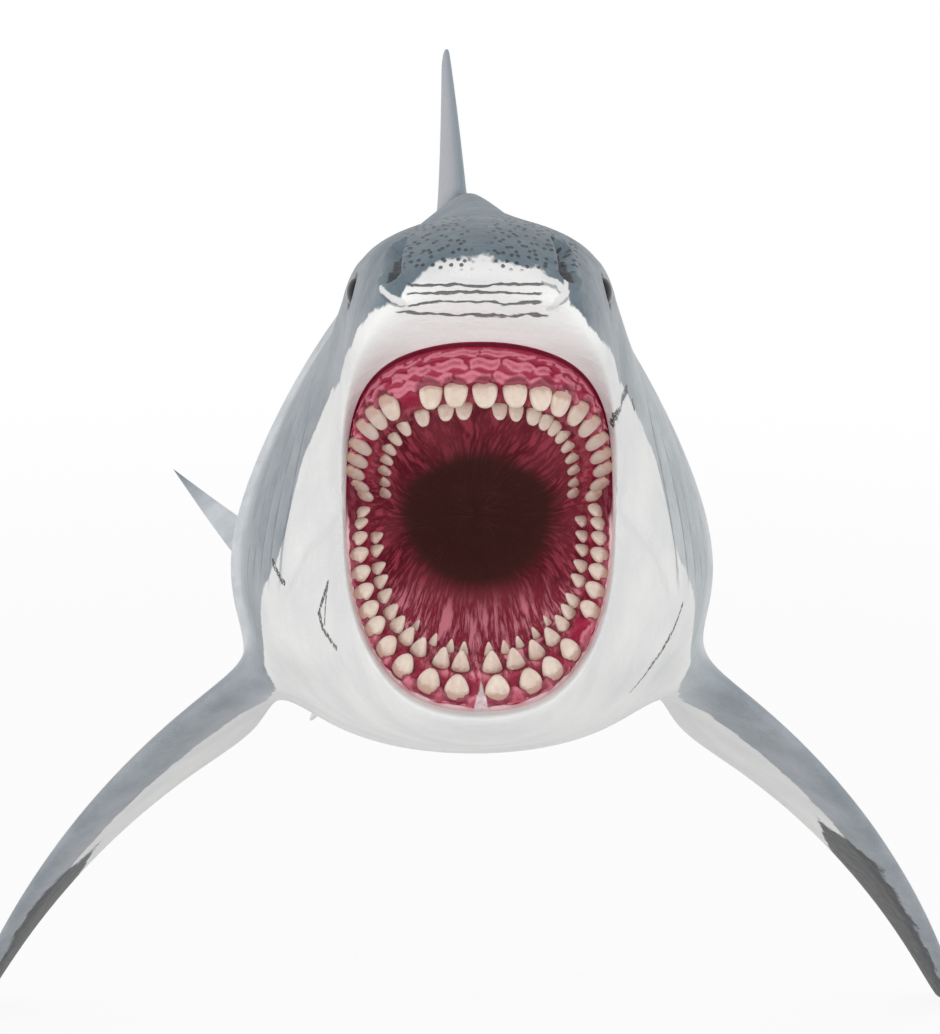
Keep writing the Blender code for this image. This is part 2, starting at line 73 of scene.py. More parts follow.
# Points of a ring run from the crown (0 degrees) down the flank to the keel (180 degrees)
RING_ANGLES = (0, 7, 30, 52, 72, 90, 102, 114, 129, 147, 164, 180)
FIN_ROOT_COLUMNS = (7, 8)
PELVIC_COLUMNS = (9, 10)


def curve_through(points, x):
    """Height at x of a smooth curve through a few points, without overshoot."""
    xs = [point[0] for point in points]
    ys = [point[1] for point in points]
    if x <= xs[0]:
        return ys[0]
    if x >= xs[-1]:
        return ys[-1]
    steps = [(ys[i + 1] - ys[i]) / (xs[i + 1] - xs[i]) for i in range(len(xs) - 1)]
    slopes = [steps[0]]
    for before, after in zip(steps, steps[1:]):
        slopes.append(0.0 if before * after <= 0 else 2 * before * after / (before + after))
    slopes.append(steps[-1])
    i = max(index for index, start in enumerate(xs[:-1]) if x >= start)
    run = xs[i + 1] - xs[i]
    t = (x - xs[i]) / run
    return (
        ys[i] * (1 + 2 * t) * (1 - t) ** 2
        + ys[i + 1] * t * t * (3 - 2 * t)
        + slopes[i] * run * t * (1 - t) ** 2
        - slopes[i + 1] * run * t * t * (1 - t)
    )


def ring(crown, flank, keel, full_up=2.0, full_down=2.0, lean=1.0, brow=0.0):
    """A ring through its crown (y, z), flank (x, y, z) and keel (y, z)."""
    return {
        "brow": brow,
        "crown": crown,
        "flank": flank,
        "keel": keel,
        "full_up": full_up,
        "full_down": full_down,
        "lean": lean,
    }


def ring_point(shape, degrees):
    """A superellipse point of a ring, bowed fore and aft by lean and squared above by brow."""
    angle = math.radians(degrees)
    upper = degrees <= 90
    exponent = 2 / (shape["full_up"] if upper else shape["full_down"])
    end_y, end_z = shape["crown"] if upper else shape["keel"]
    side_x, side_y, side_z = shape["flank"]
    across = abs(math.sin(angle)) ** exponent
    rise = abs(math.cos(angle)) ** exponent
    x = side_x * across
    if upper:
        x += shape["brow"] * math.sin(4 * angle)
    y = side_y + (end_y - side_y) * rise ** shape["lean"]
    return Vector((x, y, side_z + (end_z - side_z) * rise))


PECTORAL_CHORD = 48.0
DORSAL_CHORD = 42.0
PELVIC_CHORD = 24.0
SMALL_FIN_CHORD = 20.0
FINS = {
    "pectoral": (0.225 * TRUNK_LENGTH, PECTORAL_CHORD),
    "dorsal": (0.45 * TRUNK_LENGTH, DORSAL_CHORD),
    "pelvic": (0.68 * TRUNK_LENGTH, PELVIC_CHORD),
    "small": (0.86 * TRUNK_LENGTH, SMALL_FIN_CHORD),
}


def trunk_stations():
    """Stations of the trunk's rings from the peduncle forward, several under each fin."""
    stations = [TRUNK_LENGTH]
    for name, spaces in (("small", 1), ("pelvic", 1), ("dorsal", 2), ("pectoral", 3)):
        start, chord = FINS[name]
        stations += [start + chord * step / spaces for step in range(spaces, -1, -1)]
    return stations


def trunk_ring(station):
    """Cross-section of the trunk: a tall egg at the shoulders, nearly round at the peduncle."""
    share = station / TRUNK_LENGTH
    slim = PEDUNCLE_WIDTH / BODY_WIDTH
    top = (PEDUNCLE_RISE + PEDUNCLE_HEIGHT / 2) / BACK_HEIGHT
    bottom = (PEDUNCLE_HEIGHT / 2 - PEDUNCLE_RISE) / BELLY_DEPTH
    rise = PEDUNCLE_RISE
    widths = ((0.19, 0.90), (0.35, 1.0), (0.52, 0.90), (0.68, 0.68), (0.86, 0.35), (1.0, slim))
    axes = ((0.19, -5.5), (0.40, -5.5), (0.68, 0.0), (0.86, rise), (1.0, rise))
    backs = ((0.19, 0.885), (0.42, 1.0), (0.54, 0.955), (0.68, 0.76), (0.86, 0.41), (1.0, top))
    bellies = ((0.19, 0.93), (0.38, 1.0), (0.54, 0.92), (0.68, 0.72), (0.86, 0.33), (1.0, bottom))
    fullness_up = ((0.19, 1.55), (0.30, 1.42), (0.50, 1.45), (0.75, 1.7), (1.0, 1.9))
    fullness_down = ((0.19, 2.3), (0.45, 2.25), (0.75, 2.0), (1.0, 1.9))
    curves = (widths, axes, backs, bellies, fullness_up, fullness_down)
    width, axis, back, belly, full_up, full_down = (curve_through(curve, share) for curve in curves)
    flank = (BODY_WIDTH / 2 * width, station, axis)
    return ring((station, BACK_HEIGHT * back), flank, (station, -BELLY_DEPTH * belly), full_up, full_down)


UPPER_LOBE = 35.0
LOWER_LOBE = 25.0
TAIL_SWEEP = 32.0
TAIL_NOTCH = 20.0
TAIL_THICKNESS = 6.0


def tail_rings():
    """From the trailing edge of the tail fin forward to where it leaves the peduncle."""
    rings = []
    for share, thick in ((1.0, 0.0), (0.88, 0.3), (0.55, 0.7), (0.22, 1.1)):
        crown = (TRUNK_LENGTH + TAIL_SWEEP * share, PEDUNCLE_RISE + UPPER_LOBE * share)
        flank = (TAIL_THICKNESS / 2 * thick, TRUNK_LENGTH + TAIL_NOTCH * share**1.3, PEDUNCLE_RISE)
        keel = (TRUNK_LENGTH + 0.85 * TAIL_SWEEP * share, PEDUNCLE_RISE - LOWER_LOBE * share)
        rings.append(ring(crown, flank, keel, 2.6, 2.6, 0.8))
    return rings


def corner(out=0.0, back=0.0, up=0.0):
    """A point given from the corner of the mouth."""
    return GAPE_WIDTH / 2 + out, CORNER_DEPTH + back, CORNER_RISE + up


def head_rings():
    """From behind the eyes over the snout and down its underside to the crest of the lips."""
    chin = -(GAPE_BOTTOM + LIP_ROLL)
    nape, brow, square = NAPE_START, BROW_HEIGHT, BROW_SQUARENESS
    snout, tip, lip = SNOUT_HEIGHT, -SNOUT_REACH, GAPE_TOP + LIP_ROLL
    # crown (y, z), flank from the corner of the mouth, keel (y, z), fullness up and down, lean, brow
    shapes = (
        ((nape, brow + 3.0), (11.3, 0.4 * nape, -7.5), (0.82 * nape, chin - 5.2), 1.75, 2.35, 1.1, 0.6),
        ((0.72 * nape, brow + 0.8), (7.4, 0.24 * nape, -5), (0.54 * nape, chin - 4.4),
         2.55, 2.4, 1.25, square),
        ((0.4 * nape, brow - 0.4), (4.6, 0.12 * nape, -2.5), (0.28 * nape, chin - 3.4),
         2.9, 2.45, 1.35, square),
        ((0.05 * nape, brow - 2), (2.6, 0.05 * nape, -0.8), (0.1 * nape, chin - 2.2),
         2.9, 2.5, 1.3, 0.6 * square),
        ((tip + 6, snout + 3.6), (1.6, 0.6), (0.3, chin - 1.0), 2.8, 2.5, 1.25),
        ((tip, snout - 1.0), (1.1, 0), (-1.2, chin - 0.2), 2.8, 2.5, 1.2),
        ((tip + 6, snout - 5.4), (0.7, -0.6), (-1.6, chin + 0.5), 2.9, 2.55, 1.15),
        ((-1.5, lip), (0.3, -1.0), (-1.0, chin + 1.0), 3.0, 2.55, 1.15),
    )
    return [ring(crown, corner(*flank), *rest) for crown, flank, *rest in shapes]


def lining_ring(depths, insets, full_up=3.0, full_down=2.55, lean=1.15):
    """A ring inside the mouth, set in from the lips at the crown, flank and keel."""
    top, side, bottom = insets
    crown, keel = (depths[0], GAPE_TOP - top), (depths[2], bottom - GAPE_BOTTOM)
    return ring(crown, corner(-side, depths[1]), keel, full_up, full_down, lean)


def throat_ring(depth, radius, lift=0.6):
    return ring((depth, lift + radius), (radius, depth, lift), (depth, lift - radius))


FRONT_ROW = lining_ring((3.2, 2.2, 2.6), (UPPER_GUM, SIDE_GUM, LOWER_GUM))
SECOND_ROW = lining_ring((8.5, 6.0, 7.5), (UPPER_GUM + 2.2, SIDE_GUM + 2.6, LOWER_GUM + 3.6), 2.9, 2.5)


def lining_rings():
    """From the lips inwards: gums, the hollow behind the teeth, palate and throat."""
    gullet = THROAT_RADIUS + 1.6
    deep = 0.6 * THROAT_START
    return [
        lining_ring((1.5, 0.4, 1.0), (0.0, 0.0, 0.0)),
        lining_ring((3.6, 1.4, 3.0), (0.9, 0.3, 0.7)),
        lining_ring((1.9, 1.5, 1.6), (UPPER_GUM * 0.55, SIDE_GUM * 0.5, LOWER_GUM * 0.5)),
        FRONT_ROW,
        lining_ring((7.0, 4.0, 5.6), (UPPER_GUM + 1.2, SIDE_GUM + 1.6, LOWER_GUM + 1.6)),
        SECOND_ROW,
        lining_ring((15.0, 9.0, 14.0), (UPPER_GUM + 3.4, SIDE_GUM + 4.2, LOWER_GUM + 6.2), 2.7, 2.4),
        ring((deep, gullet), (gullet, 0.77 * THROAT_START, 1.5), (deep, -gullet), 2.3, 2.2, 1.1),
        throat_ring(THROAT_START, THROAT_RADIUS),
        throat_ring(THROAT_DEPTH, 0.55 * THROAT_RADIUS),
    ]


LAST_TRUNK_ROW = len(tail_rings()) + len(trunk_stations()) - 1
LIP_ROW = LAST_TRUNK_ROW + len(head_rings()) + 1
LAYERS = ("row", "column", "reach", "wrap", "pectoral")
skin = bmesh.new()
layer = {name: skin.verts.layers.float.new(name) for name in LAYERS}


def loft_half(bm, rings):
    """Extrudes a row of edges from ring to ring, numbering each point's row and column."""
    line = [bm.verts.new(ring_point(rings[0], degrees)) for degrees in RING_ANGLES]
    for index, vert in enumerate(line):
        vert[layer["column"]] = index
    edges = [bm.edges.new(pair) for pair in zip(line, line[1:])]
    for number, shape in enumerate(rings[1:], 1):
        made = bmesh.ops.extrude_edge_only(bm, edges=edges)["geom"]
        for vert in made:
            if isinstance(vert, bmesh.types.BMVert):
                vert[layer["row"]] = number
                vert.co = ring_point(shape, RING_ANGLES[round(vert[layer["column"]])])
        edges = [item for item in made if isinstance(item, bmesh.types.BMEdge)]
        edges = [edge for edge in edges if all(round(v[layer["row"]]) == number for v in edge.verts)]


loft_half(skin, tail_rings() + [trunk_ring(at) for at in trunk_stations()] + head_rings() + lining_rings())
bmesh.ops.mirror(skin, geom=skin.verts[:] + skin.edges[:] + skin.faces[:], merge_dist=0.001, axis="X")
bmesh.ops.contextual_create(skin, geom=[edge for edge in skin.edges if edge.is_boundary])
bmesh.ops.recalc_face_normals(skin, faces=skin.faces)

# Fins
# They belong to the same moulding. Each is drawn out of its patch of skin section by section, thick
# and blunt in front and thin behind, and the pectoral fins are the legs that the figure stands on.

PECTORAL_SPAN = 76.0
PECTORAL_TIP_CHORD = 9.0
PECTORAL_THICKNESS = 6.4
PECTORAL_SWEEP = 47.0
PECTORAL_DROOP = 31.0
PECTORAL_TIP_DROOP = 69.0
PECTORAL_PITCH = 13.0
DORSAL_HEIGHT = 30.0
DORSAL_SWEEP = 30.0
DORSAL_THICKNESS = 6.0
PELVIC_SPAN = 16.0
PELVIC_DROOP = 48.0
SECOND_DORSAL_HEIGHT = 7.0
ANAL_FIN_DEPTH = 7.0
# Sweep, thickness and the tip's share of the chord, for the second dorsal and the anal fin
SMALL_FIN = (9.0, 3.0, 0.3)
KEEL_COLUMN = len(RING_ANGLES) - 1


def patch(bm, rows, columns, side=0):
    """Faces of the skin between two rows and two columns, on one side or on both."""

    def inside(vert):
        row, column = round(vert[layer["row"]]), round(vert[layer["column"]])
        return rows[0] <= row <= rows[1] and columns[0] <= column <= columns[1]

    faces = [face for face in bm.faces if all(inside(vert) for vert in face.verts)]
    return [face for face in faces if face.calc_center_median().x * side >= 0]


def draw_fin(bm, faces, rows, place, steps, pectoral=0.0):
    """Extrudes a patch of skin outwards; place(t, u, side) gives each point of section t."""
    columns = sorted({round(v[layer["column"]]) for face in faces for v in face.verts})
    straddles = columns[0] == 0 or columns[-1] == KEEL_COLUMN
    for t in steps:
        made = bmesh.ops.extrude_face_region(bm, geom=faces)["geom"]
        bmesh.ops.delete(bm, geom=faces, context="FACES")
        for vert in made:
            if not isinstance(vert, bmesh.types.BMVert):
                continue
            u = (rows[1] - round(vert[layer["row"]])) / (rows[1] - rows[0])
            column = round(vert[layer["column"]])
            if straddles:
                side = 0 if column in (0, KEEL_COLUMN) else math.copysign(1, vert.co.x)
            else:
                side = 1 if column == columns[0] else -1
            vert.co = place(t, u, side)
            vert[layer["reach"]] = t
            vert[layer["wrap"]] = -side * u
            vert[layer["pectoral"]] = pectoral
        faces = [face for face in made if isinstance(face, bmesh.types.BMFace)]


def foil(u):
    """Thickness of a fin's section along its chord: blunt in front, thin behind."""
    return 0.34 + 1.1 * math.sqrt(u + 0.02) * (1 - u) + 0.05 * (1 - u)


def pectoral_point(hand):
    """Sections of a pectoral fin, which droops, sweeps back and shows its underside in front."""
    start = trunk_ring(FINS["pectoral"][0])
    top, low = (ring_point(start, RING_ANGLES[column]) for column in FIN_ROOT_COLUMNS)
    root = top.lerp(low, 0.3)

    def place(t, u, side):
        pieces = 24
        point = root.copy()
        droop = 0.0
        for step in range(pieces):
            along = t * (step + 0.5) / pieces
            droop = math.radians(PECTORAL_DROOP + (PECTORAL_TIP_DROOP - PECTORAL_DROOP) * along)
            point += Vector((math.cos(droop), 0, -math.sin(droop))) * PECTORAL_SPAN * t / pieces
        point.y += PECTORAL_SWEEP * t**1.25
        chord = PECTORAL_CHORD + (PECTORAL_TIP_CHORD - PECTORAL_CHORD) * t**0.85
        if t > 0.96:
            chord *= 0.8
            point.y += 0.1 * PECTORAL_TIP_CHORD
        thickness = PECTORAL_THICKNESS * (1.15 - 0.85 * t) * foil(u)
        out = Vector((math.sin(droop), 0, math.cos(droop)))
        pitch = math.radians(PECTORAL_PITCH)
        point += (Vector((0, math.cos(pitch), 0)) - out * math.sin(pitch)) * chord * u
        point += out * side * thickness / 2
        point.x *= hand
        return point

    return place


def keel_fin_point(start, chord, base, height, sweep, thickness, tip_share):
    """Sections of a fin on the back (height above 0) or under the belly (below 0)."""

    def place(t, u, side):
        length = chord * (1 - (1 - tip_share) * t**0.9)
        y = start + sweep * t**1.15 + length * u
        x = side * thickness / 2 * (1 - 0.72 * t) * foil(u)
        z = base + height * t - height * 0.10 * t * u
        if side == 0:
            z += math.copysign(0.4, height)
        return Vector((x, y, z))

    return place


def pelvic_point(hand):
    start = trunk_ring(FINS["pelvic"][0])
    first, last = (ring_point(start, RING_ANGLES[column]) for column in PELVIC_COLUMNS)
    droop = math.radians(PELVIC_DROOP)

    def place(t, u, side):
        reach = PELVIC_SPAN * t
        chord = PELVIC_CHORD * (1 - 0.6 * t)
        point = (first + last) / 2
        point += Vector((math.cos(droop) * reach, 0.75 * reach + chord * u, -math.sin(droop) * reach))
        point += Vector((math.sin(droop), 0, math.cos(droop))) * side * 1.8 * (1 - 0.6 * t)
        point.x *= hand
        return point

    return place


def rows_of(name):
    """First and last row of the skin under a fin."""
    start, chord = FINS[name]
    away = [[abs(station - at) for station in trunk_stations()] for at in (start + chord, start)]
    return tuple(len(tail_rings()) + row.index(min(row)) for row in away)


for hand in (1, -1):
    faces = patch(skin, rows_of("pectoral"), FIN_ROOT_COLUMNS, hand)
    steps = (0.10, 0.28, 0.52, 0.76, 0.93, 1.0)
    draw_fin(skin, faces, rows_of("pectoral"), pectoral_point(hand), steps, 1.0)
    faces = patch(skin, rows_of("pelvic"), PELVIC_COLUMNS, hand)
    draw_fin(skin, faces, rows_of("pelvic"), pelvic_point(hand), (0.35, 1.0))

start, chord = FINS["dorsal"]
crown = ring_point(trunk_ring(start + chord / 2), 0).z
place = keel_fin_point(start, chord, crown, DORSAL_HEIGHT, DORSAL_SWEEP, DORSAL_THICKNESS, 0.16)
draw_fin(skin, patch(skin, rows_of("dorsal"), (0, 1)), rows_of("dorsal"), place, (0.12, 0.4, 0.72, 0.93, 1.0))
start, chord = FINS["small"]
crown, keel = (ring_point(trunk_ring(start + chord / 2), degrees).z for degrees in (0, 180))
place = keel_fin_point(start, chord, crown, SECOND_DORSAL_HEIGHT, *SMALL_FIN)
draw_fin(skin, patch(skin, rows_of("small"), (0, 1)), rows_of("small"), place, (0.3, 1.0))
place = keel_fin_point(start, chord, keel, -ANAL_FIN_DEPTH, *SMALL_FIN)
faces = patch(skin, rows_of("small"), (KEEL_COLUMN - 1, KEEL_COLUMN))
draw_fin(skin, faces, rows_of("small"), place, (0.3, 1.0))
bmesh.ops.recalc_face_normals(skin, faces=skin.faces)
if skin.calc_volume(signed=True) < 0:
    bmesh.ops.reverse_faces(skin, faces=skin.faces)

# Fine surface
# The mould holds finer detail in the head than in the trunk, so the cage is smoothed twice: the head
# and mouth with small faces, the trunk and fins with larger ones, and the two are sewn together.

HEAD_LEVEL = 4
TRUNK_LEVEL = 3
SEAM_REACH = 0.15


def smoothed(bm, level):
    """The cage's smooth surface as a mesh, with its layers."""
    mesh = bpy.data.meshes.new("cage")
    bm.to_mesh(mesh)
    cage = bpy.data.objects.new("cage", mesh)
    bpy.context.scene.collection.objects.link(cage)
    smooth = cage.modifiers.new("Smooth", "SUBSURF")
    smooth.levels = smooth.render_levels = level
    bpy.context.view_layer.update()
    fine = bpy.data.meshes.new_from_object(cage.evaluated_get(bpy.context.evaluated_depsgraph_get()))
    bpy.data.objects.remove(cage, do_unlink=True)
    return fine


def keep_rows(bm, faces, low, high):
    """Deletes the faces whose middle lies outside a span of rows."""
    row = bm.verts.layers.float["row"]
    lost = [face for face in faces if not low < sum(v[row] for v in face.verts) / len(face.verts) < high]
    bmesh.ops.delete(bm, geom=lost, context="FACES")


fine_head = smoothed(skin, HEAD_LEVEL)
body = bmesh.new()
body.from_mesh(fine_head)
keep_rows(body, body.faces[:], LAST_TRUNK_ROW + 0.001, LIP_ROW)
head_faces, head_verts = len(body.faces), len(body.verts)
body.from_mesh(smoothed(skin, TRUNK_LEVEL))
body.faces.ensure_lookup_table()
body.verts.index_update()
keep_rows(body, body.faces[head_faces:], -1, LAST_TRUNK_ROW + 0.001)
row = body.verts.layers.float["row"]
seam = [edge for edge in body.edges if edge.is_boundary and max(v[row] for v in edge.verts) < LIP_ROW - 1]
coarse = [edge for edge in seam if edge.verts[0].index >= head_verts]
made = bmesh.ops.subdivide_edges(body, edges=coarse, cuts=1)
verts = {v for edge in seam for v in edge.verts}
verts |= {item for item in made["geom_inner"] if isinstance(item, bmesh.types.BMVert)}
# In the mesh's own order the head's point stays where two meet, and each run gives the same seam
body.verts.index_update()
verts = sorted(verts, key=lambda vert: vert.index)
bmesh.ops.remove_doubles(body, verts=verts, dist=SEAM_REACH)
lining = bmesh.new()
lining.from_mesh(fine_head)
keep_rows(lining, lining.faces[:], LIP_ROW, 1000)


# Relief of the skin
# The master's skin was worked by hand before the mould was made: nostrils with their flaps, sockets
# for the eyes, five gill slits on each side and the crease behind each corner of the mouth.

NOSTRIL = ((10.6, 2.5, 36.2), (11.4, -1.5, 35.0), (11.6, -5.0, 33.2), (11.3, -6.8, 31.6))
NOSTRIL_WIDTH = 1.0
NOSTRIL_DEPTH = 1.5
FLAP = ((12.9, -4.6, 30.9), (11.1, -8.0, 29.6), (10.2, -9.6, 28.6))
CORNER_CREASE = ((19.2, 23.0, 2.4), (22.3, 28.9, -0.6), (25.4, 34.6, -4.2), (27.4, 39.5, -9.5))
GILL_START = 40.5
GILL_SPACING = 4.8
GILL_LEAN = -0.10
GILL_TOP = 19.0
GILL_BOTTOM = -12.0
GILLS = 5
EYE_PLACE = (18.0, 19.5, 31.2)


def to_path(points, path):
    """Distance of each point from a path of straight stretches that is the same on both sides."""
    points = points.copy()
    points[:, 0] = abs(points[:, 0])
    nearest = np.full(len(points), np.inf)
    for a, b in zip(path, path[1:]):
        a, b = np.array(a), np.array(b)
        along = np.clip((points - a) @ (b - a) / ((b - a) @ (b - a)), 0, 1)
        nearest = np.minimum(nearest, np.linalg.norm(points - a - along[:, None] * (b - a), axis=1))
    return nearest


def hollow(distance, width):
    """1 in the middle of a hollow, falling off smoothly to 0."""
    return np.exp(-((distance / width) ** 2))


def ramp(values, low, high):
    """0 below low, 1 above high and smooth between them."""
    t = np.clip((values - low) / (high - low), 0, 1)
    return t * t * (3 - 2 * t)


def skin_relief(points):
    """How far the skin is sunk or raised at each point, along its normal."""
    height = -NOSTRIL_DEPTH * hollow(to_path(points, NOSTRIL), NOSTRIL_WIDTH)
    height += 0.3 * hollow(to_path(points, NOSTRIL) - 1.9, 0.8)
    height += 0.7 * hollow(to_path(points, FLAP), 1.3)
    height -= 0.9 * hollow(to_path(points, CORNER_CREASE), 2.0) * ramp(points[:, 1], 20, 26)
    at = (points[:, 1] - GILL_START - GILL_LEAN * points[:, 2]) / GILL_SPACING
    nearest = np.clip(np.round(at), 0, GILLS - 1)
    offset = (at - nearest) * GILL_SPACING
    reach = (GILL_TOP - GILL_BOTTOM) / 2 * (1 - 0.05 * nearest)
    fade = 1 - ramp(abs(points[:, 2] - (GILL_TOP + GILL_BOTTOM) / 2), reach - 6, reach)
    fade *= ramp(abs(points[:, 0]), 16, 20)
    height += (0.12 * hollow(offset + 1.3, 1.1) - 0.28 * hollow(offset - 0.3, 1.0)) * fade
    eye = np.linalg.norm((abs(points) - EYE_PLACE) / (1, 1.3, 0.75), axis=1)
    height += 0.25 * hollow(eye - 5.2, 1.2) - 0.6 * hollow(eye, 3.2)
    return height


def values_of(mesh, name):
    """Numbers of a layer of the mesh, or its points' places or normals, as an array."""
    if name in ("co", "normal"):
        values = np.empty(len(mesh.vertices) * 3)
        source, key = (mesh.vertices, "co") if name == "co" else (mesh.vertex_normals, "vector")
        source.foreach_get(key, values)
        return values.reshape(-1, 3)
    values = np.empty(len(mesh.vertices))
    mesh.attributes[name].data.foreach_get("value", values)
    return values


def write_layer(mesh, name, values):
    """Stores one number or one vector for each point, for the paint to read."""
    kind, key = ("FLOAT_VECTOR", "vector") if values.ndim == 2 else ("FLOAT", "value")
    data = mesh.attributes.new(name, kind, "POINT").data
    data.foreach_set(key, values.astype(np.float32).ravel())


skin_mesh = bpy.data.meshes.new("shark_skin")
body.to_mesh(skin_mesh)
places = values_of(skin_mesh, "co")
write_layer(skin_mesh, "place", places)
relief = skin_relief(places) * (1 - ramp(values_of(skin_mesh, "row"), LIP_ROW - 1.3, LIP_ROW - 0.3))
skin_worked = places + values_of(skin_mesh, "normal") * relief[:, None]
skin_mesh.vertices.foreach_set("co", skin_worked.ravel())

# Bent and standing
# The master was modelled swimming, its trunk and tail curved to one side. The figure has no base: the
# tips of its pectoral fins and the lower lobe of its tail are its three feet, each with a small flat.

BEND_START = 30.0
BODY_YAW = 12.0
FLICK_START = 185.0
FLICK_YAW = 15.0
FLICK_DROOP = 18.0
FLICK_ROLL = 22.0
STAND_TURN = (-12.3365, -0.7138, 0.0771)
STAND_SHIFT = (0.9032, -145.6648, 100.7023)
MM = 0.001


def spine(station):
    """Point and axes (right, back, up) of the bent spine at a station."""
    point = Vector((0, min(station, BEND_START), PEDUNCLE_RISE))
    right, back, up = Vector((1, 0, 0)), Vector((0, 1, 0)), Vector((0, 0, 1))
    if station <= BEND_START:
        return point, right, back, up
    pieces = 80
    step = (station - BEND_START) / pieces
    for piece in range(pieces):
        at = BEND_START + (piece + 0.5) * step
        bend = (at - BEND_START) / (TRUNK_LENGTH - BEND_START)
        flick = max(0.0, (at - FLICK_START) / (TRUNK_LENGTH - FLICK_START))
        yaw = math.radians(BODY_YAW) * bend**1.2 + math.radians(FLICK_YAW) * flick**1.2
        droop = math.radians(FLICK_DROOP) * flick**1.2
        back = Vector((-math.sin(yaw) * math.cos(droop), math.cos(yaw) * math.cos(droop), -math.sin(droop)))
        point += back * step
    right = Vector((math.cos(yaw), math.sin(yaw), 0))
    up = right.cross(back)
    roll = math.radians(FLICK_ROLL) * flick**1.5
    up, right = up * math.cos(roll) - right * math.sin(roll), right * math.cos(roll) + up * math.sin(roll)
    return point, right, back, up


spine_at = np.arange(BEND_START, TRUNK_LENGTH + 1)
spine_table = np.array([[tuple(item) for item in spine(float(station))] for station in spine_at])
stand_turn = Matrix.Identity(3)
for axis, degrees in zip("XYZ", STAND_TURN):
    stand_turn = Matrix.Rotation(math.radians(degrees), 3, axis) @ stand_turn


def stood(points):
    """Bends points of the straight master, stands them on the table and turns them into metres."""
    station = np.clip(points[:, 1], BEND_START, TRUNK_LENGTH)
    parts = [[np.interp(station, spine_at, spine_table[:, i, j]) for j in range(3)] for i in range(4)]
    middle, right, back, up = (np.array(part).T for part in parts)
    bent = middle + right * points[:, :1] + up * (points[:, 2:] - PEDUNCLE_RISE)
    bent += back * np.maximum(points[:, 1:2] - TRUNK_LENGTH, 0)
    bent = np.where(points[:, 1:2] > BEND_START, bent, points)
    on_table = bent @ np.array(stand_turn).T + STAND_SHIFT
    on_table[:, 2] = np.maximum(on_table[:, 2], 0)
    return on_table * MM


def stand(mesh, name):
    """Puts a finished mesh in its place on the table as an object of the figure."""
    mesh.vertices.foreach_set("co", stood(values_of(mesh, "co")).ravel())
    mesh.update()
    mesh.shade_smooth()
    obj = bpy.data.objects.new(name, mesh)
    bpy.context.scene.collection.objects.link(obj)
    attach(obj, "root")
    return obj


# Painted skin
# Airbrushed and hand-brushed paint over the vinyl: blue-grey above and white below with a wavering
# edge between them, black patches under the fin tips, black pores on the snout, fine wrinkles and
# a few painted scars.

GREY_EDGE_FRONT = (
    (-18.5, 21.5), (-17.6, 22.6), (-16.3, 25.2), (-14.5, 27.0), (-11.5, 27.9), (-10.2, 28.6),
    (-9.6, 30.2), (-6.1, 32.6), (-4.3, 33.7), (0.4, 34.1), (2.9, 33.0), (7.8, 32.9), (8.9, 31.6),
    (10.4, 29.5), (12.4, 27.7), (15.3, 24.8), (17.0, 23.0), (18.5, 21.3),
)
GREY_EDGE_SIDE = (
    (5.0, 22.8), (14.0, 20.0), (27.0, 17.5), (33.0, 13.8), (37.5, 8.5), (38.8, 3.0), (40.1, -1.0),
    (42.5, -6.0), (47.0, -9.0), (52.0, -12.0), (57.0, -17.5), (62.0, -23.0), (108.0, -23.0),
    (120.0, -13.0), (135.0, -6.0), (170.0, -4.0), (230.0, 0.0), (280.0, 1.0), (320.0, -2.0),
)


def srgb(red, green, blue):
    """A colour given by its 0 to 255 values on a screen, as a shader takes it."""
    shares = [value / 255 for value in (red, green, blue)]
    return tuple(v / 12.92 if v <= 0.04045 else ((v + 0.055) / 1.055) ** 2.4 for v in shares) + (1.0,)


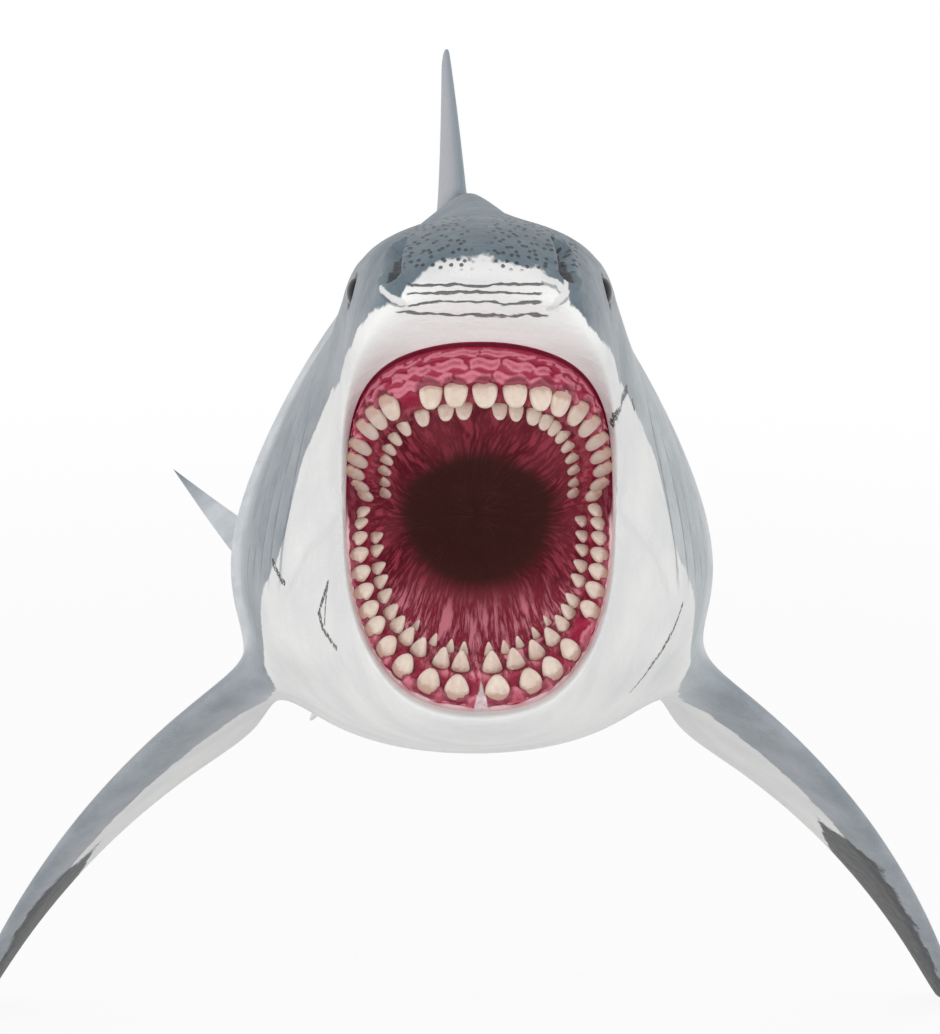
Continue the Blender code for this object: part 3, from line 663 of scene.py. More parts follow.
class Wire:
    """An output of a shader node, which can stand in sums like a number."""

    def __init__(self, tree, socket=None):
        self.tree = tree
        self.socket = socket

    def node(self, kind, settings, inputs, output=0):
        """Adds a node: its settings first, then its inputs as numbers, colours or other wires."""
        made = self.tree.nodes.new(kind)
        for name, value in settings.items():
            setattr(made, name, value)
        for name, value in inputs.items():
            if isinstance(value, Wire):
                self.tree.links.new(value.socket, made.inputs[name])
            else:
                made.inputs[name].default_value = value
        return Wire(self.tree, made.outputs[output])

    def sum(self, operation, *values):
        return self.node("ShaderNodeMath", {"operation": operation}, dict(enumerate(values)))

    def __add__(self, other):
        return self.sum("ADD", self, other)

    def __sub__(self, other):
        return self.sum("SUBTRACT", self, other)

    def __rsub__(self, other):
        return self.sum("SUBTRACT", other, self)

    def __mul__(self, other):
        return self.sum("MULTIPLY", self, other)

    def __truediv__(self, other):
        return self.sum("DIVIDE", self, other)

    __radd__ = __add__
    __rmul__ = __mul__

    def smaller(self, other):
        return self.sum("MINIMUM", self, other)

    def larger(self, other):
        return self.sum("MAXIMUM", self, other)

    def size(self):
        return self.sum("ABSOLUTE", self)

    def step(self, low, high):
        """0 at low, 1 at high, smooth between them; low may be the larger one."""
        if low > high:
            return 1 - self.step(high, low)
        inputs = {"Value": self, "From Min": low, "From Max": high}
        return self.node("ShaderNodeMapRange", {"interpolation_type": "SMOOTHSTEP"}, inputs)

    def blend(self, low, high):
        """A colour or vector between two, this wire being the share of the second."""
        return self.node("ShaderNodeMix", {"data_type": "RGBA"}, {0: self, 6: low, 7: high}, 2)

    def vector(self, operation, *others, output=0):
        inputs = dict(enumerate((self, *others)))
        return self.node("ShaderNodeVectorMath", {"operation": operation}, inputs, output)

    def scaled(self, x, y, z):
        return self.vector("MULTIPLY", (x, y, z))

    def axis(self, name):
        return self.node("ShaderNodeSeparateXYZ", {}, {"Vector": self}, name)

    def layer(self, name, output="Fac"):
        return self.node("ShaderNodeAttribute", {"attribute_name": name}, {}, output)

    def noise(self, scale, detail=2.0, roughness=0.5):
        """Soft random values around 0.5 that change along this vector."""
        inputs = {"Vector": self, "Scale": scale, "Detail": detail, "Roughness": roughness}
        return self.node("ShaderNodeTexNoise", {}, inputs)

    def line(self, a, b):
        """Distance of this place from the straight line between two points."""
        a, run = Vector(a), Vector(b) - Vector(a)
        from_start = self.vector("SUBTRACT", tuple(a))
        along = from_start.vector("DOT_PRODUCT", tuple(run / run.length_squared), output=1)
        along = along.larger(0).smaller(1)
        on_line = self.node("ShaderNodeCombineXYZ", {}, dict(enumerate(along * value for value in run)))
        return from_start.vector("DISTANCE", on_line, output=1)


def new_material(name, roughness):
    """A material with its tree, its shader and a wire to start from."""
    material = bpy.data.materials.new(name)
    material.use_nodes = True
    shader = material.node_tree.nodes["Principled BSDF"]
    shader.inputs["Roughness"].default_value = roughness
    return material, shader, Wire(material.node_tree)


def connect(shader, start, color, height=None, bump=1.0, roughness=None):
    """Feeds a material's colour, its relief in metres and its roughness."""
    links = start.tree.links
    links.new(color.socket, shader.inputs["Base Color"])
    if height:
        inputs = {"Height": height, "Strength": bump, "Distance": MM}
        links.new(start.node("ShaderNodeBump", {}, inputs).socket, shader.inputs["Normal"])
    if roughness:
        links.new(roughness.socket, shader.inputs["Roughness"])


def edge_height(x, points):
    return np.interp(x, [point[0] for point in points], [point[1] for point in points])


reach = values_of(skin_mesh, "reach")
wrap = values_of(skin_mesh, "wrap")
on_fin = values_of(skin_mesh, "pectoral")
front = edge_height(places[:, 0], GREY_EDGE_FRONT)
side = edge_height(places[:, 1], GREY_EDGE_SIDE)
edge = front + (side - front) * ramp(places[:, 1], 0, 6)
chord = PECTORAL_CHORD + (PECTORAL_TIP_CHORD - PECTORAL_CHORD) * np.clip(reach, 0, 1) ** 0.85
fin_grey = (0.26 + 0.14 * reach - wrap) * chord
grey = (places[:, 2] - edge) * (1 - on_fin) + fin_grey * on_fin
write_layer(skin_mesh, "grey", grey)
start_at = np.where(places[:, 0] > 0, 0.42, 0.50)
patch_up = ramp(reach, start_at, start_at + 0.22)
middle = 0.44 + 0.12 * reach + 0.12 * patch_up
dark = (0.06 + 0.40 * patch_up - abs(wrap - middle)) * chord
dark = np.where((on_fin > 0.5) & (reach > start_at - 0.1), dark - 3 * (1 - patch_up), -10)
write_layer(skin_mesh, "dark", dark)

SCARS = (
    ((18.1, 14.2, 12.7), (18.5, 11.5, 14.1), 0.50),
    ((18.5, 11.5, 14.1), (19.5, 18.7, 15.5), 0.50),
    ((19.5, 18.7, 15.5), (20.7, 27.2, 17.8), 0.55),
    ((21.5, 30.0, 16.3), (21.8, 30.7, 15.2), 0.32),
    ((21.6, 35.5, -24.7), (24.5, 36.8, -21.1), 0.34),
    ((24.5, 36.8, -21.1), (27.5, 40.8, -16.9), 0.46),
    ((27.5, 40.8, -16.9), (29.3, 43.9, -12.5), 0.26),
    ((-21.1, 23.7, -9.3), (-22.4, 26.7, -13.5), 0.40),
    ((-22.4, 26.7, -13.5), (-21.8, 25.5, -15.5), 0.46),
    ((-21.8, 25.5, -15.5), (-19.8, 20.9, -18.2), 0.36),
    ((-21.2, 23.7, -10.3), (-21.5, 24.6, -14.8), 0.20),
    ((-29.6, 44.3, -6.3), (-28.4, 40.7, -9.4), 0.36),
    ((-33.4, 80.4, 10.6), (-33.0, 79.6, 8.9), 0.20),
    ((39.0, 93.0, -36.2), (42.2, 98.0, -39.6), 0.18),
)
FLAP_STROKES = (
    ((-12.5, -6.6, 29.8), (-11.2, -9.0, 28.7), 0.46),
    ((-11.2, -9.0, 28.7), (-10.0, -9.7, 28.4), 0.50),
    ((8.3, -11.1, 31.2), (10.0, -9.7, 30.7), 0.50),
    ((10.0, -9.7, 30.7), (10.8, -9.3, 29.4), 0.60),
    ((10.8, -9.3, 29.4), (10.0, -9.8, 28.6), 0.52),
    ((10.0, -9.8, 28.6), (9.1, -8.8, 27.3), 0.44),
    ((10.8, -9.3, 29.4), (10.9, -8.6, 30.7), 0.34),
)
# How far below the flaps their painted shadow lies
FLAP_SHADE = 0.55
NOSTRIL_STROKES = (
    ((10.6, 2.0, 35.9), (11.4, -1.5, 34.9), 0.35),
    ((11.4, -1.5, 34.9), (11.7, -5.0, 33.1), 0.85),
    ((11.7, -5.0, 33.1), (11.3, -6.8, 31.6), 1.15),
)
# Height, left end, right end and slope of each
WRINKLES = (
    (30.3, -9.3, 8.2, 0.0),
    (29.25, -9.3, 8.0, 0.0),
    (28.1, -9.3, 8.0, 0.0),
    (26.6, -10.9, 8.9, -0.02),
)
WRINKLE_WIDTH = 0.13
CROWN_GREYS = srgb(92, 107, 117), srgb(116, 131, 140)
LEFT_GREYS = srgb(142, 150, 157), srgb(167, 172, 178)
# Painted light: the right flank's and the rear's greys are lighter than the left flank's
RIGHT_LIT_GREYS = srgb(172, 180, 183), srgb(198, 203, 205)
REAR_LIT_GREYS = srgb(192, 199, 204), srgb(216, 221, 226)
# Painted light and shade: the dorsal fin's lighter left face and darker right face
DORSAL_LIT_AND_SHADED_GREYS = srgb(172, 174, 183), srgb(132, 147, 156)
BELLY_WHITES = srgb(228, 229, 229), srgb(242, 242, 240)
# Painted light: a whiter white for the upper lip
LIP_PAINTED_LIGHT_WHITE = srgb(252, 252, 251)
FLAP_WHITE = srgb(232, 233, 232)
FIN_BLACK = srgb(34, 36, 39)
PORE_GREY = srgb(40, 48, 56)
WRINKLE_GREY = srgb(74, 72, 74)
FLAP_SHADOW_GREY = srgb(92, 98, 104)
SCAR_BLACK = srgb(44, 48, 48)
EYE_RING_BLACK = srgb(30, 32, 35)
NOSTRIL_BLACK = srgb(40, 43, 48)
GILL_GREY = srgb(104, 112, 120)
PORE_SCALE = 0.86
SATIN = 0.22


def strokes(place, marks, jitter, soft=0.12):
    """Share of a few painted strokes, each given by its ends and half its width."""
    total = None
    for a, b, width in marks:
        share = (place.line(a, b) + jitter * width).step(width + soft, width - soft)
        total = share if total is None else total.larger(share)
    return total


def both_sides(marks):
    return marks + tuple(((-a[0], *a[1:]), (-b[0], *b[1:]), width) for a, b, width in marks)


material, shader, start = new_material("painted_skin", 0.42)
shader.inputs["Specular IOR Level"].default_value = SATIN
place = start.layer("place", "Vector")
x, y, z = (place.axis(name) for name in "XYZ")
pectoral = start.layer("pectoral")
waver = place.noise(0.35, 3.0) - 0.5
fine = place.noise(1.3, 2.0) - 0.5
grain = place.noise(4.0, 1.0) - 0.5

# Blue-grey, lighter down the flanks, over white; the right flank and the rear are painted lighter still, as
# painted light
grey_share = (start.layer("grey") + waver * 2.2 + fine * 0.8).step(-0.35, 0.35)
mottle = (place.noise(0.11, 4.0, 0.6) + grain * 0.25).step(0.3, 0.72)
# Painted light: the right flank and the body behind the gills take lighter greys
right_lit_share = x.step(-1.0, 1.0) * y.step(24.0, 40.0) * (1 - pectoral)
side_color = right_lit_share.blend(mottle.blend(*LEFT_GREYS), mottle.blend(*RIGHT_LIT_GREYS))
grey_color = (x.size() + waver * 3.0).step(12.0, 18.5).blend(mottle.blend(*CROWN_GREYS), side_color)
rear_lit_color = place.scaled(0.10, 0.03, 0.35).noise(0.9, 3.0).step(0.3, 0.7).blend(*REAR_LIT_GREYS)
behind = (y + waver * 5.0).step(60.0, 74.0) * z.step(40.0, 22.0)
grey_color = (behind * (1 - pectoral)).blend(grey_color, rear_lit_color)
# Painted light: the dorsal fin's left face is painted lighter and its right face darker, as a lit and a
# shaded side
dorsal_lit_and_shaded_color = x.step(-1.0, 1.0).blend(*DORSAL_LIT_AND_SHADED_GREYS)
on_fin = (start.layer("reach") + waver * 0.05).step(0.0, 0.12) * (1 - pectoral)
grey_color = on_fin.blend(grey_color, dorsal_lit_and_shaded_color)
white = place.noise(0.09, 3.0).step(0.25, 0.75).blend(*BELLY_WHITES)
# Painted light: the upper lip is painted whiter than the belly, standing in for light on a face that the
# lamps reach little
upper_lip_painted_light = z.step(20.0, 25.0) * z.step(31.0, 28.5) * y.step(6.0, 0.0)
color = grey_share.blend(upper_lip_painted_light.blend(white, LIP_PAINTED_LIGHT_WHITE), grey_color)
dark_share = (start.layer("dark") + waver * 5.0 + fine * 2.5).step(-0.8, 0.8)
color = (dark_share * 0.96).blend(color, FIN_BLACK)

# Pores in two fields on the snout
flat = start.node("ShaderNodeCombineXYZ", {}, {0: x, 1: z + y * 0.16})
inputs = {"Vector": flat, "Scale": PORE_SCALE, "Randomness": 1.0}
cells = start.node("ShaderNodeTexVoronoi", {"voronoi_dimensions": "2D"}, inputs, "Distance")
snout = z.step(31.9, 32.5) * y.step(30.0, 22.0)
left_field = (x + 5.5).size().step(5.6, 3.2)
right_field = (x - 7.5).size().step(7.6, 5.0)
crowded = left_field.larger(right_field) * (flat.noise(0.5, 1.0) + 0.15).step(0.44, 0.5)
pores = (cells + grain * 0.08).step(0.27, 0.17) * snout * crowded
color = (pores * 0.85).blend(color, PORE_GREY)

# Wrinkles across the snout
wrinkle = None
for number, (height, left, right, slope) in enumerate(WRINKLES):
    wave = place.vector("ADD", (number * 9.0, 0, 0)).noise(0.28, 2.0) - 0.5
    away = (z - height - x * slope + wave * 1.1 + fine * 0.22).size()
    width = place.vector("ADD", (0, number * 7.0, 0)).noise(0.6, 2.0) - 0.5
    width = width * 0.4 + WRINKLE_WIDTH
    ends = x.step(left - 0.3, left + 0.3) * x.step(right + 0.3, right - 0.3) * y.step(-2.5, -3.5)
    share = (width - away).step(-0.07, 0.07) * ends
    wrinkle = share if wrinkle is None else wrinkle.larger(share)
color = (wrinkle * 0.85).blend(color, WRINKLE_GREY)

# Strokes by hand: flaps with a painted shadow under each, scars, nostrils and the rings round the eyes
# Painted shadow: the flap strokes, moved down a little, in grey under the white flaps
flap_shadow = strokes(place.vector("ADD", (0, 0, FLAP_SHADE)), FLAP_STROKES, fine)
color = (flap_shadow * 0.6).blend(color, FLAP_SHADOW_GREY)
color = strokes(place, FLAP_STROKES, fine).blend(color, FLAP_WHITE)
scar = strokes(place, SCARS, fine * 2.6) * place.noise(1.9, 2.0).step(0.36, 0.5)
color = (scar * 0.9).blend(color, SCAR_BLACK)
eye_ring = place.vector("ABSOLUTE").vector("SUBTRACT", EYE_PLACE).scaled(0.6, 0.72, 1.0)
eye_ring = (eye_ring.vector("LENGTH", output=1) + fine * 0.4).step(2.9, 2.2)
color = eye_ring.blend(color, EYE_RING_BLACK)
nostril = strokes(place, both_sides(NOSTRIL_STROKES), fine * 0.4)
color = (nostril * 0.9).blend(color, NOSTRIL_BLACK)

# A dark line in each gill slit
gill = (y - GILL_START - z * GILL_LEAN) / GILL_SPACING
nearest = gill.sum("ROUND", gill).larger(0).smaller(GILLS - 1)
gill = (gill - nearest) * GILL_SPACING
gill_fade = z.step(GILL_BOTTOM, GILL_BOTTOM + 6) * z.step(GILL_TOP, GILL_TOP - 6) * x.size().step(19, 23)
gill_line = (gill - 0.3 + waver).size().step(0.6, 0.1) * gill_fade
color = (gill_line * 0.6).blend(color, GILL_GREY)
height = fine * 0.10 + grain * 0.05 + waver * 0.25 - scar * 0.3 - wrinkle * 0.5 - pores * 0.15
connect(shader, start, color, height, 1.0, place.noise(0.8, 2.0) * 0.16 + 0.36)
skin_obj = stand(skin_mesh, "skin")
skin_mesh.materials.append(material)

# Tooth places
# The teeth stand in two full rows in each jaw, with a third, smaller row behind in the lower jaw. They
# were set out by hand, so their gaps differ, and one upper front tooth is missing.

UPPER_FRONT = lining_ring((3.2, 2.2, 2.6), (UPPER_GUM + 0.5, SIDE_GUM - 0.4, LOWER_GUM))
LOWER_FRONT = lining_ring((3.2, 2.0, 2.4), (UPPER_GUM, SIDE_GUM + 0.1, LOWER_GUM + 0.3))
UPPER_SECOND = lining_ring((8.5, 6.0, 7.5), (UPPER_GUM + 1.6, SIDE_GUM + 3.6, LOWER_GUM + 3.6), 2.9, 2.5)
LOWER_SECOND = lining_ring((8.5, 6.0, 6.8), (UPPER_GUM + 2.2, SIDE_GUM + 1.8, LOWER_GUM + 2.9), 2.9, 2.5)
LOWER_THIRD = lining_ring((13.0, 8.0, 10.0), (UPPER_GUM + 3.0, SIDE_GUM + 3.2, LOWER_GUM + 4.6), 2.8, 2.45)
# Sections of a tooth: height above the gum as a share of its length, width and depth as shares of its width
SHIELD = (
    (-1.0, 1.0, 0.5), (0.0, 1.04, 0.52), (0.4, 0.97, 0.46),
    (0.75, 0.76, 0.38), (0.94, 0.46, 0.28), (1.0, 0.20, 0.15),
)
BROAD = (
    (-1.0, 1.0, 0.6), (0.0, 1.04, 0.6), (0.35, 0.94, 0.54),
    (0.7, 0.66, 0.42), (0.93, 0.34, 0.28), (1.0, 0.14, 0.14),
)
SHARP = ((-1.0, 1.0, 0.6), (0.0, 1.04, 0.6), (0.4, 0.8, 0.46), (0.8, 0.42, 0.28), (1.0, 0.14, 0.12))
UP, DOWN = True, False
# Ring, jaw, side, sections, greatest width and length, and each tooth's way along the ring from its middle
TOOTH_ROWS = (
    (UPPER_FRONT, UP, -1, SHIELD, 3.6, 3.0, (3.2, 6.7, 13.9, 17.7, 21.4, 26.2, 29.8, 32.8, 35.6, 38.0)),
    (UPPER_FRONT, UP, 1, SHIELD, 3.6, 3.0, (0.7, 4.8, 8.5, 12.0, 16.2, 20.4, 24.8, 28.7, 32.0, 35.2, 37.9)),
    (LOWER_FRONT, DOWN, -1, BROAD, 3.6, 2.5,
     (3.1, 7.2, 11.9, 16.3, 20.6, 23.9, 27.5, 31.1, 34.6, 37.7, 40.3, 42.4)),
    (LOWER_FRONT, DOWN, 1, BROAD, 3.6, 2.5, (2.4, 7.2, 11.1, 15.6, 23.9, 27.8, 31.4, 34.6, 37.7, 40.3, 42.8)),
    (UPPER_SECOND, UP, -1, SHIELD, 2.7, 2.3, (2.1, 4.6, 8.5, 13.2, 17.2, 20.9, 24.3, 27.6, 30.7, 33.5)),
    (UPPER_SECOND, UP, 1, SHIELD, 2.7, 2.3, (2.7, 5.0, 7.9, 10.5, 13.2, 16.3, 19.9, 23.8, 27.4, 30.8, 33.5)),
    (LOWER_SECOND, DOWN, -1, SHARP, 3.0, 2.8,
     (2.6, 5.4, 9.4, 12.3, 15.2, 18.0, 21.5, 24.6, 27.4, 31.1, 33.8)),
    (LOWER_SECOND, DOWN, 1, SHARP, 3.0, 2.8,
     (1.7, 5.0, 8.6, 12.2, 15.4, 18.0, 20.5, 24.8, 27.9, 31.2, 34.1, 37.2)),
    (LOWER_THIRD, DOWN, -1, SHARP, 1.5, 2.0, (2.2, 4.2, 7.0, 11.1)),
    (LOWER_THIRD, DOWN, 1, SHARP, 1.5, 2.0, (1.3, 3.6, 5.9, 9.1, 12.3)),
)
TOOTH_ROOT = 1.4
CORNER_SHARE = 0.62
SHARP_CORNER = 1.5
SLIMMING = 0.25
CLOSEST = 0.97
lining_mesh = bpy.data.meshes.new("mouth_lining")
lining.to_mesh(lining_mesh)


def surface_of(mesh, places):
    """A mesh's faces at the given places, to find the nearest point on them."""
    return BVHTree.FromPolygons([Vector(co) for co in places], [face.vertices[:] for face in mesh.polygons])


gum_tree = surface_of(lining_mesh, values_of(lining_mesh, "co"))


def ring_walk(shape, upper):
    """Points of a ring from the middle of a jaw to the corner of the mouth, and the way to each."""
    fine = [ring_point(shape, degrees if upper else 180 - degrees) for degrees in range(0, 91)]
    way = [0.0]
    for a, b in zip(fine, fine[1:]):
        way.append(way[-1] + (b - a).length)
    return fine, way


tooth_places = []
for shape, upper, hand, profile, widest, longest, alongs in TOOTH_ROWS:
    fine_ring, way = ring_walk(shape, upper)
    for number, along in enumerate(alongs):
        index = max(i for i, value in enumerate(way[:-1]) if along >= value)
        blend = (along - way[index]) / (way[index + 1] - way[index])
        point = fine_ring[index].lerp(fine_ring[index + 1], blend)
        tangent = (fine_ring[index + 1] - fine_ring[index]).normalized()
        point, tangent = (Vector((item.x * hand, item.y, item.z)) for item in (point, tangent))
        gaps = [abs(other - along) for other in alongs[max(number - 1, 0) : number + 2] if other != along]
        share = along / way[-1]
        width = min(widest * (1 - SLIMMING * share), CLOSEST * min(gaps))
        fall = (1 - CORNER_SHARE) * (SHARP_CORNER if profile is SHARP else 1.0)
        length = longest * (1 - fall * share)
        tooth_places.append((gum_tree.find_nearest(point)[0], tangent, width, length, profile, share))

# Mouth lining
# Gums, palate, floor of the mouth and throat are part of the moulding, with the gums carved in rows
# of worm-like loops and the palate in folds. They are painted pink over crimson, darker inwards.

LOOP_LENGTH = 3.7
LOOP_HEIGHT = 0.3
UPPER_LOOPS = 3
LOWER_LOOPS = 1
CLEFT_TOP = -21.8
CLEFT_MIDDLE = 0.2
CLEFT_WIDTH = 0.6
CLEFT_DEPTH = 0.7
CLEFT_SPREAD = 0.25
FOLD_HEIGHT = 0.22
SOCKET_HEIGHT = 0.35
SOCKET_WIDTH = 0.45
GUM_PINKS = srgb(162, 36, 68), srgb(214, 122, 140)
PALATE_REDS = srgb(104, 26, 42), srgb(172, 72, 90)
PALATE_PINK = srgb(186, 88, 102)
FLOOR_PINKS = srgb(154, 44, 66), srgb(240, 150, 166)
DEEP_FLOOR = srgb(164, 76, 86)
# Painted shade round the teeth's roots
SOCKET_SHADE_RED = srgb(112, 20, 44)
THROAT_BROWN = srgb(86, 50, 47)
LIP_LINE_RED = srgb(98, 12, 37)
LIP_EDGE_PINK = srgb(236, 200, 204)
CLEFT_PINK = srgb(232, 216, 218)
WET = 0.35
# The paint in the throat is lightened a little, as light that comes back from its walls would
GLOW = 0.28


def loops(along, share, band, count):
    """Carved loops: 1 on the ridge of each, 0 in the grooves around them and less in their middles."""
    row = np.clip(np.floor(share * count), 0, count - 1)
    up = (share * count - row - 0.5) * band / count
    warped = along + 0.8 * np.sin(1.3 * along + 2.1 * row) + 0.5 * np.sin(2.6 * along + 1.8 * up + row)
    cell = warped / (LOOP_LENGTH * (1 + 0.12 * row)) + 0.37 * row
    on = (cell - np.floor(cell) - 0.5) * LOOP_LENGTH
    up = up + 0.24 * np.sin(2.1 * along + 1.7 * row)
    half = band / count / 2 - 0.1
    corner_x = np.maximum(abs(on) - (LOOP_LENGTH / 2 - 0.15 - 0.9 * half), 0)
    corner_y = np.maximum(abs(up) - 0.1 * half, 0)
    inside = 0.9 * half - np.hypot(corner_x, corner_y)
    return ramp(inside, -0.05, 0.3) - 0.5 * ramp(inside, 0.35, 0.8)


places = values_of(lining_mesh, "co")
across = values_of(lining_mesh, "row")
column = values_of(lining_mesh, "column")
hand = np.where(places[:, 0] < 0, -1.0, 1.0)
crown_to_keel = [0.0]
for a, b in zip(RING_ANGLES, RING_ANGLES[1:]):
    crown_to_keel.append(crown_to_keel[-1] + (ring_point(FRONT_ROW, b) - ring_point(FRONT_ROW, a)).length)
along = np.interp(column, range(len(crown_to_keel)), crown_to_keel) * hand
angle = math.pi * along / crown_to_keel[-1]
upper = ramp(places[:, 2], 2, 6)
band = np.interp(abs(along), (0, 12, 24, crown_to_keel[-1]), (UPPER_GUM, 5.0, 2.6, LOWER_GUM))
share = np.clip((across - 24.7) / 2.1, 0, 1)
gum = ramp(across, 24.6, 24.9) * (1 - ramp(across, 26.7, 26.95))
ridge = loops(along, share, band, UPPER_LOOPS) * upper + loops(along, share, band, LOWER_LOOPS) * (1 - upper)
ridge *= gum
roots = KDTree(len(tooth_places))
for number, item in enumerate(tooth_places):
    roots.insert(item[0], number)
roots.balance()
socket = np.full(len(places), 9.0)
for number, point in enumerate(places):
    if across[number] < 31.5:
        _, tooth, distance = roots.find(point)
        socket[number] = distance - tooth_places[tooth][2] / 2
fold = ramp(across, 28.0, 29.0) * (1 - ramp(across, 31.0, 32.5))
fan = np.stack((np.sin(angle) * 12, np.cos(angle) * 12, across), axis=1)
folds = np.sin(angle * 23 + 2.0 * np.sin(angle * 5 + across)) * (0.6 + 0.4 * np.sin(across * 2.1 + angle * 7))
cleft = hollow(places[:, 0] - CLEFT_MIDDLE, CLEFT_WIDTH)
cleft *= ramp(-places[:, 2], -CLEFT_TOP, 1.2 - CLEFT_TOP) * (across < 28)
relief = LOOP_HEIGHT * ridge + FOLD_HEIGHT * fold * folds - CLEFT_DEPTH * cleft
relief += SOCKET_HEIGHT * hollow(socket - SOCKET_WIDTH, SOCKET_WIDTH)
relief *= ramp(across, 24.2, 24.8)
worked = places + values_of(lining_mesh, "normal") * relief[:, None]
lining_mesh.vertices.foreach_set("co", worked.ravel())
for name, values in (("place", places), ("ridge", ridge), ("socket", socket), ("fan", fan)):
    write_layer(lining_mesh, name, values)

material, shader, start = new_material("painted_mouth", 0.36)
shader.inputs["Specular IOR Level"].default_value = WET
place = start.layer("place", "Vector")
fan = start.layer("fan", "Vector")
x, y, z = (place.axis(name) for name in "XYZ")
row = start.layer("row")
fine = place.noise(1.1, 3.0) - 0.5
grain = place.noise(3.6, 2.0) - 0.5
below = z.step(3.0, -3.0)

# Gums in front, then palate above and floor below, both with streaks that run inwards
pink = (start.layer("ridge") + fine * 0.5 + grain * 0.4).step(0.05, 0.95)
streak = (fan.scaled(1, 1, 0.5).noise(1.15, 4.0, 0.62) - 0.5).size().step(0.0, 0.12)
patches = fan.noise(0.22, 3.0).step(0.35, 0.65) * 0.35
palate_color = patches.blend(streak.blend(*PALATE_REDS), PALATE_PINK)
floor_color = (y + fine * 6.0).step(24.0, 46.0).blend(streak.blend(*FLOOR_PINKS), DEEP_FLOOR)
inner_color = z.step(-7.0, -13.0).blend(palate_color, floor_color)
color = row.step(27.3, 28.3).blend(pink.blend(*GUM_PINKS), inner_color)
# Painted shade: a darker red on the gum round each tooth's root
socket = (start.layer("socket") + grain * 0.3).step(0.55, 0.05)
color = (socket * 0.7).blend(color, SOCKET_SHADE_RED)
throat = (y + fine * 6.0 - below * 2.0 - z.step(3.0, 9.5) * 15.0).step(36.0, 58.0)
color = throat.blend(color, THROAT_BROWN)

# Crimson along the upper lip and in the corners, a pale edge on the lower lip, and the cleft
corner_dark = (z - CORNER_RISE + 1.0).size().step(7.0, 1.0) * row.step(28.5, 27.0)
line = (row + fine * 0.35 - 24.35).size().step(0.36, 0.14) * (1 - below * 0.75)
color = line.larger(corner_dark * 0.92).blend(color, LIP_LINE_RED)
edge = (row + fine * 0.2).step(24.82, 24.52) * below
color = edge.blend(color, LIP_EDGE_PINK)
spread = (z - CLEFT_TOP) * CLEFT_SPREAD
cleft = ((x - CLEFT_MIDDLE + fine * 0.3).size() + spread).step(0.12, -0.12)
cleft *= z.step(CLEFT_TOP, CLEFT_TOP - 0.6)
color = (cleft * row.step(28.2, 27.6)).blend(color, CLEFT_PINK)
height = fine * 0.12 + grain * 0.10 + streak * row.step(27.8, 28.6) * 0.35
connect(shader, start, color, height)
glow = (y + fine * 4.0).step(4.0, 36.0) * GLOW
start.tree.links.new(glow.blend((0, 0, 0, 1), color).socket, shader.inputs["Emission Color"])
shader.inputs["Emission Strength"].default_value = 1.0
lining_obj = stand(lining_mesh, "mouth_lining")
lining_mesh.materials.append(material)

# Teeth
# Blunt teeth, broad in the front rows and pointed behind, moulded with the gums and painted cream, with
# painted shade: browner at their roots and darker on the upper teeth at the sides.

TOOTH_SIDES = 10
TOOTH_LEAN = 0.35
CORNER_SLANT = 1.0
SQUARENESS = 0.72
CREAMS = srgb(222, 200, 184), srgb(234, 218, 202)
# Painted shade for the upper side teeth and for the roots
SIDE_SHADE_CREAM = srgb(188, 165, 156)
ROOT_SHADE_BROWN = srgb(196, 162, 146)
teeth = bmesh.new()
height_layer = teeth.verts.layers.float.new("height")
for point, tangent, width, length, profile, share in tooth_places:
    inward = Vector((-point.x, 0, CORNER_RISE - point.z))
    inward -= inward.project(tangent)
    slant = CORNER_SLANT * share * (0.5 if profile is BROAD or profile is SHARP else 1.0)
    inward = inward.normalized() + Vector((0, -TOOTH_LEAN, 0)) + tangent * slant
    inward.normalize()
    facing = inward.cross(tangent).normalized()
    frame_of_tooth = Matrix((facing.cross(inward), facing, inward)).transposed().to_4x4()
    made = bmesh.ops.create_circle(teeth, cap_ends=True, radius=0.5, segments=TOOTH_SIDES)["verts"]
    face = made[0].link_faces[0]
    for step, (high, wide, deep) in enumerate(profile):
        if step:
            made = bmesh.ops.extrude_face_region(teeth, geom=[face])["geom"]
            if step > 1:
                bmesh.ops.delete(teeth, geom=[face], context="FACES")
            face = next(item for item in made if isinstance(item, bmesh.types.BMFace))
        rise = max(high * length, -TOOTH_ROOT)
        for index, vert in enumerate(face.verts):
            turn = 2 * math.pi * (index + 0.5) / TOOTH_SIDES
            across = math.copysign(abs(math.cos(turn)) ** SQUARENESS, math.cos(turn)) * wide
            local = Vector((across * width / 2, math.sin(turn) * width / 2 * deep, rise))
            vert.co = point + frame_of_tooth @ local
            vert[height_layer] = high
bmesh.ops.recalc_face_normals(teeth, faces=teeth.faces)
teeth_mesh = smoothed(teeth, 2)
write_layer(teeth_mesh, "place", values_of(teeth_mesh, "co"))
material, shader, start = new_material("painted_teeth", 0.34)
place = start.layer("place", "Vector")
fine = place.noise(1.2, 3.0) - 0.5
cream = (place.noise(0.5, 2.0) + fine * 0.5).step(0.3, 0.7).blend(*CREAMS)
# Painted shade: the side teeth of the upper jaw are painted darker, and all teeth browner at their roots
side_shade = place.axis("X").size().step(9.0, 17.0) * place.axis("Z").step(1.0, 5.0) * 0.7 + 0.05
cream = side_shade.blend(cream, SIDE_SHADE_CREAM)
color = (start.layer("height") + fine * 0.5).step(0.22, -0.08).blend(cream, ROOT_SHADE_BROWN)
connect(shader, start, color, fine * 0.15)
teeth_obj = stand(teeth_mesh, "teeth")
teeth_mesh.materials.append(material)

# Eyes
# Small black glossy beads are painted into the sockets under the brow; from the front they show as
# narrow upright slits.

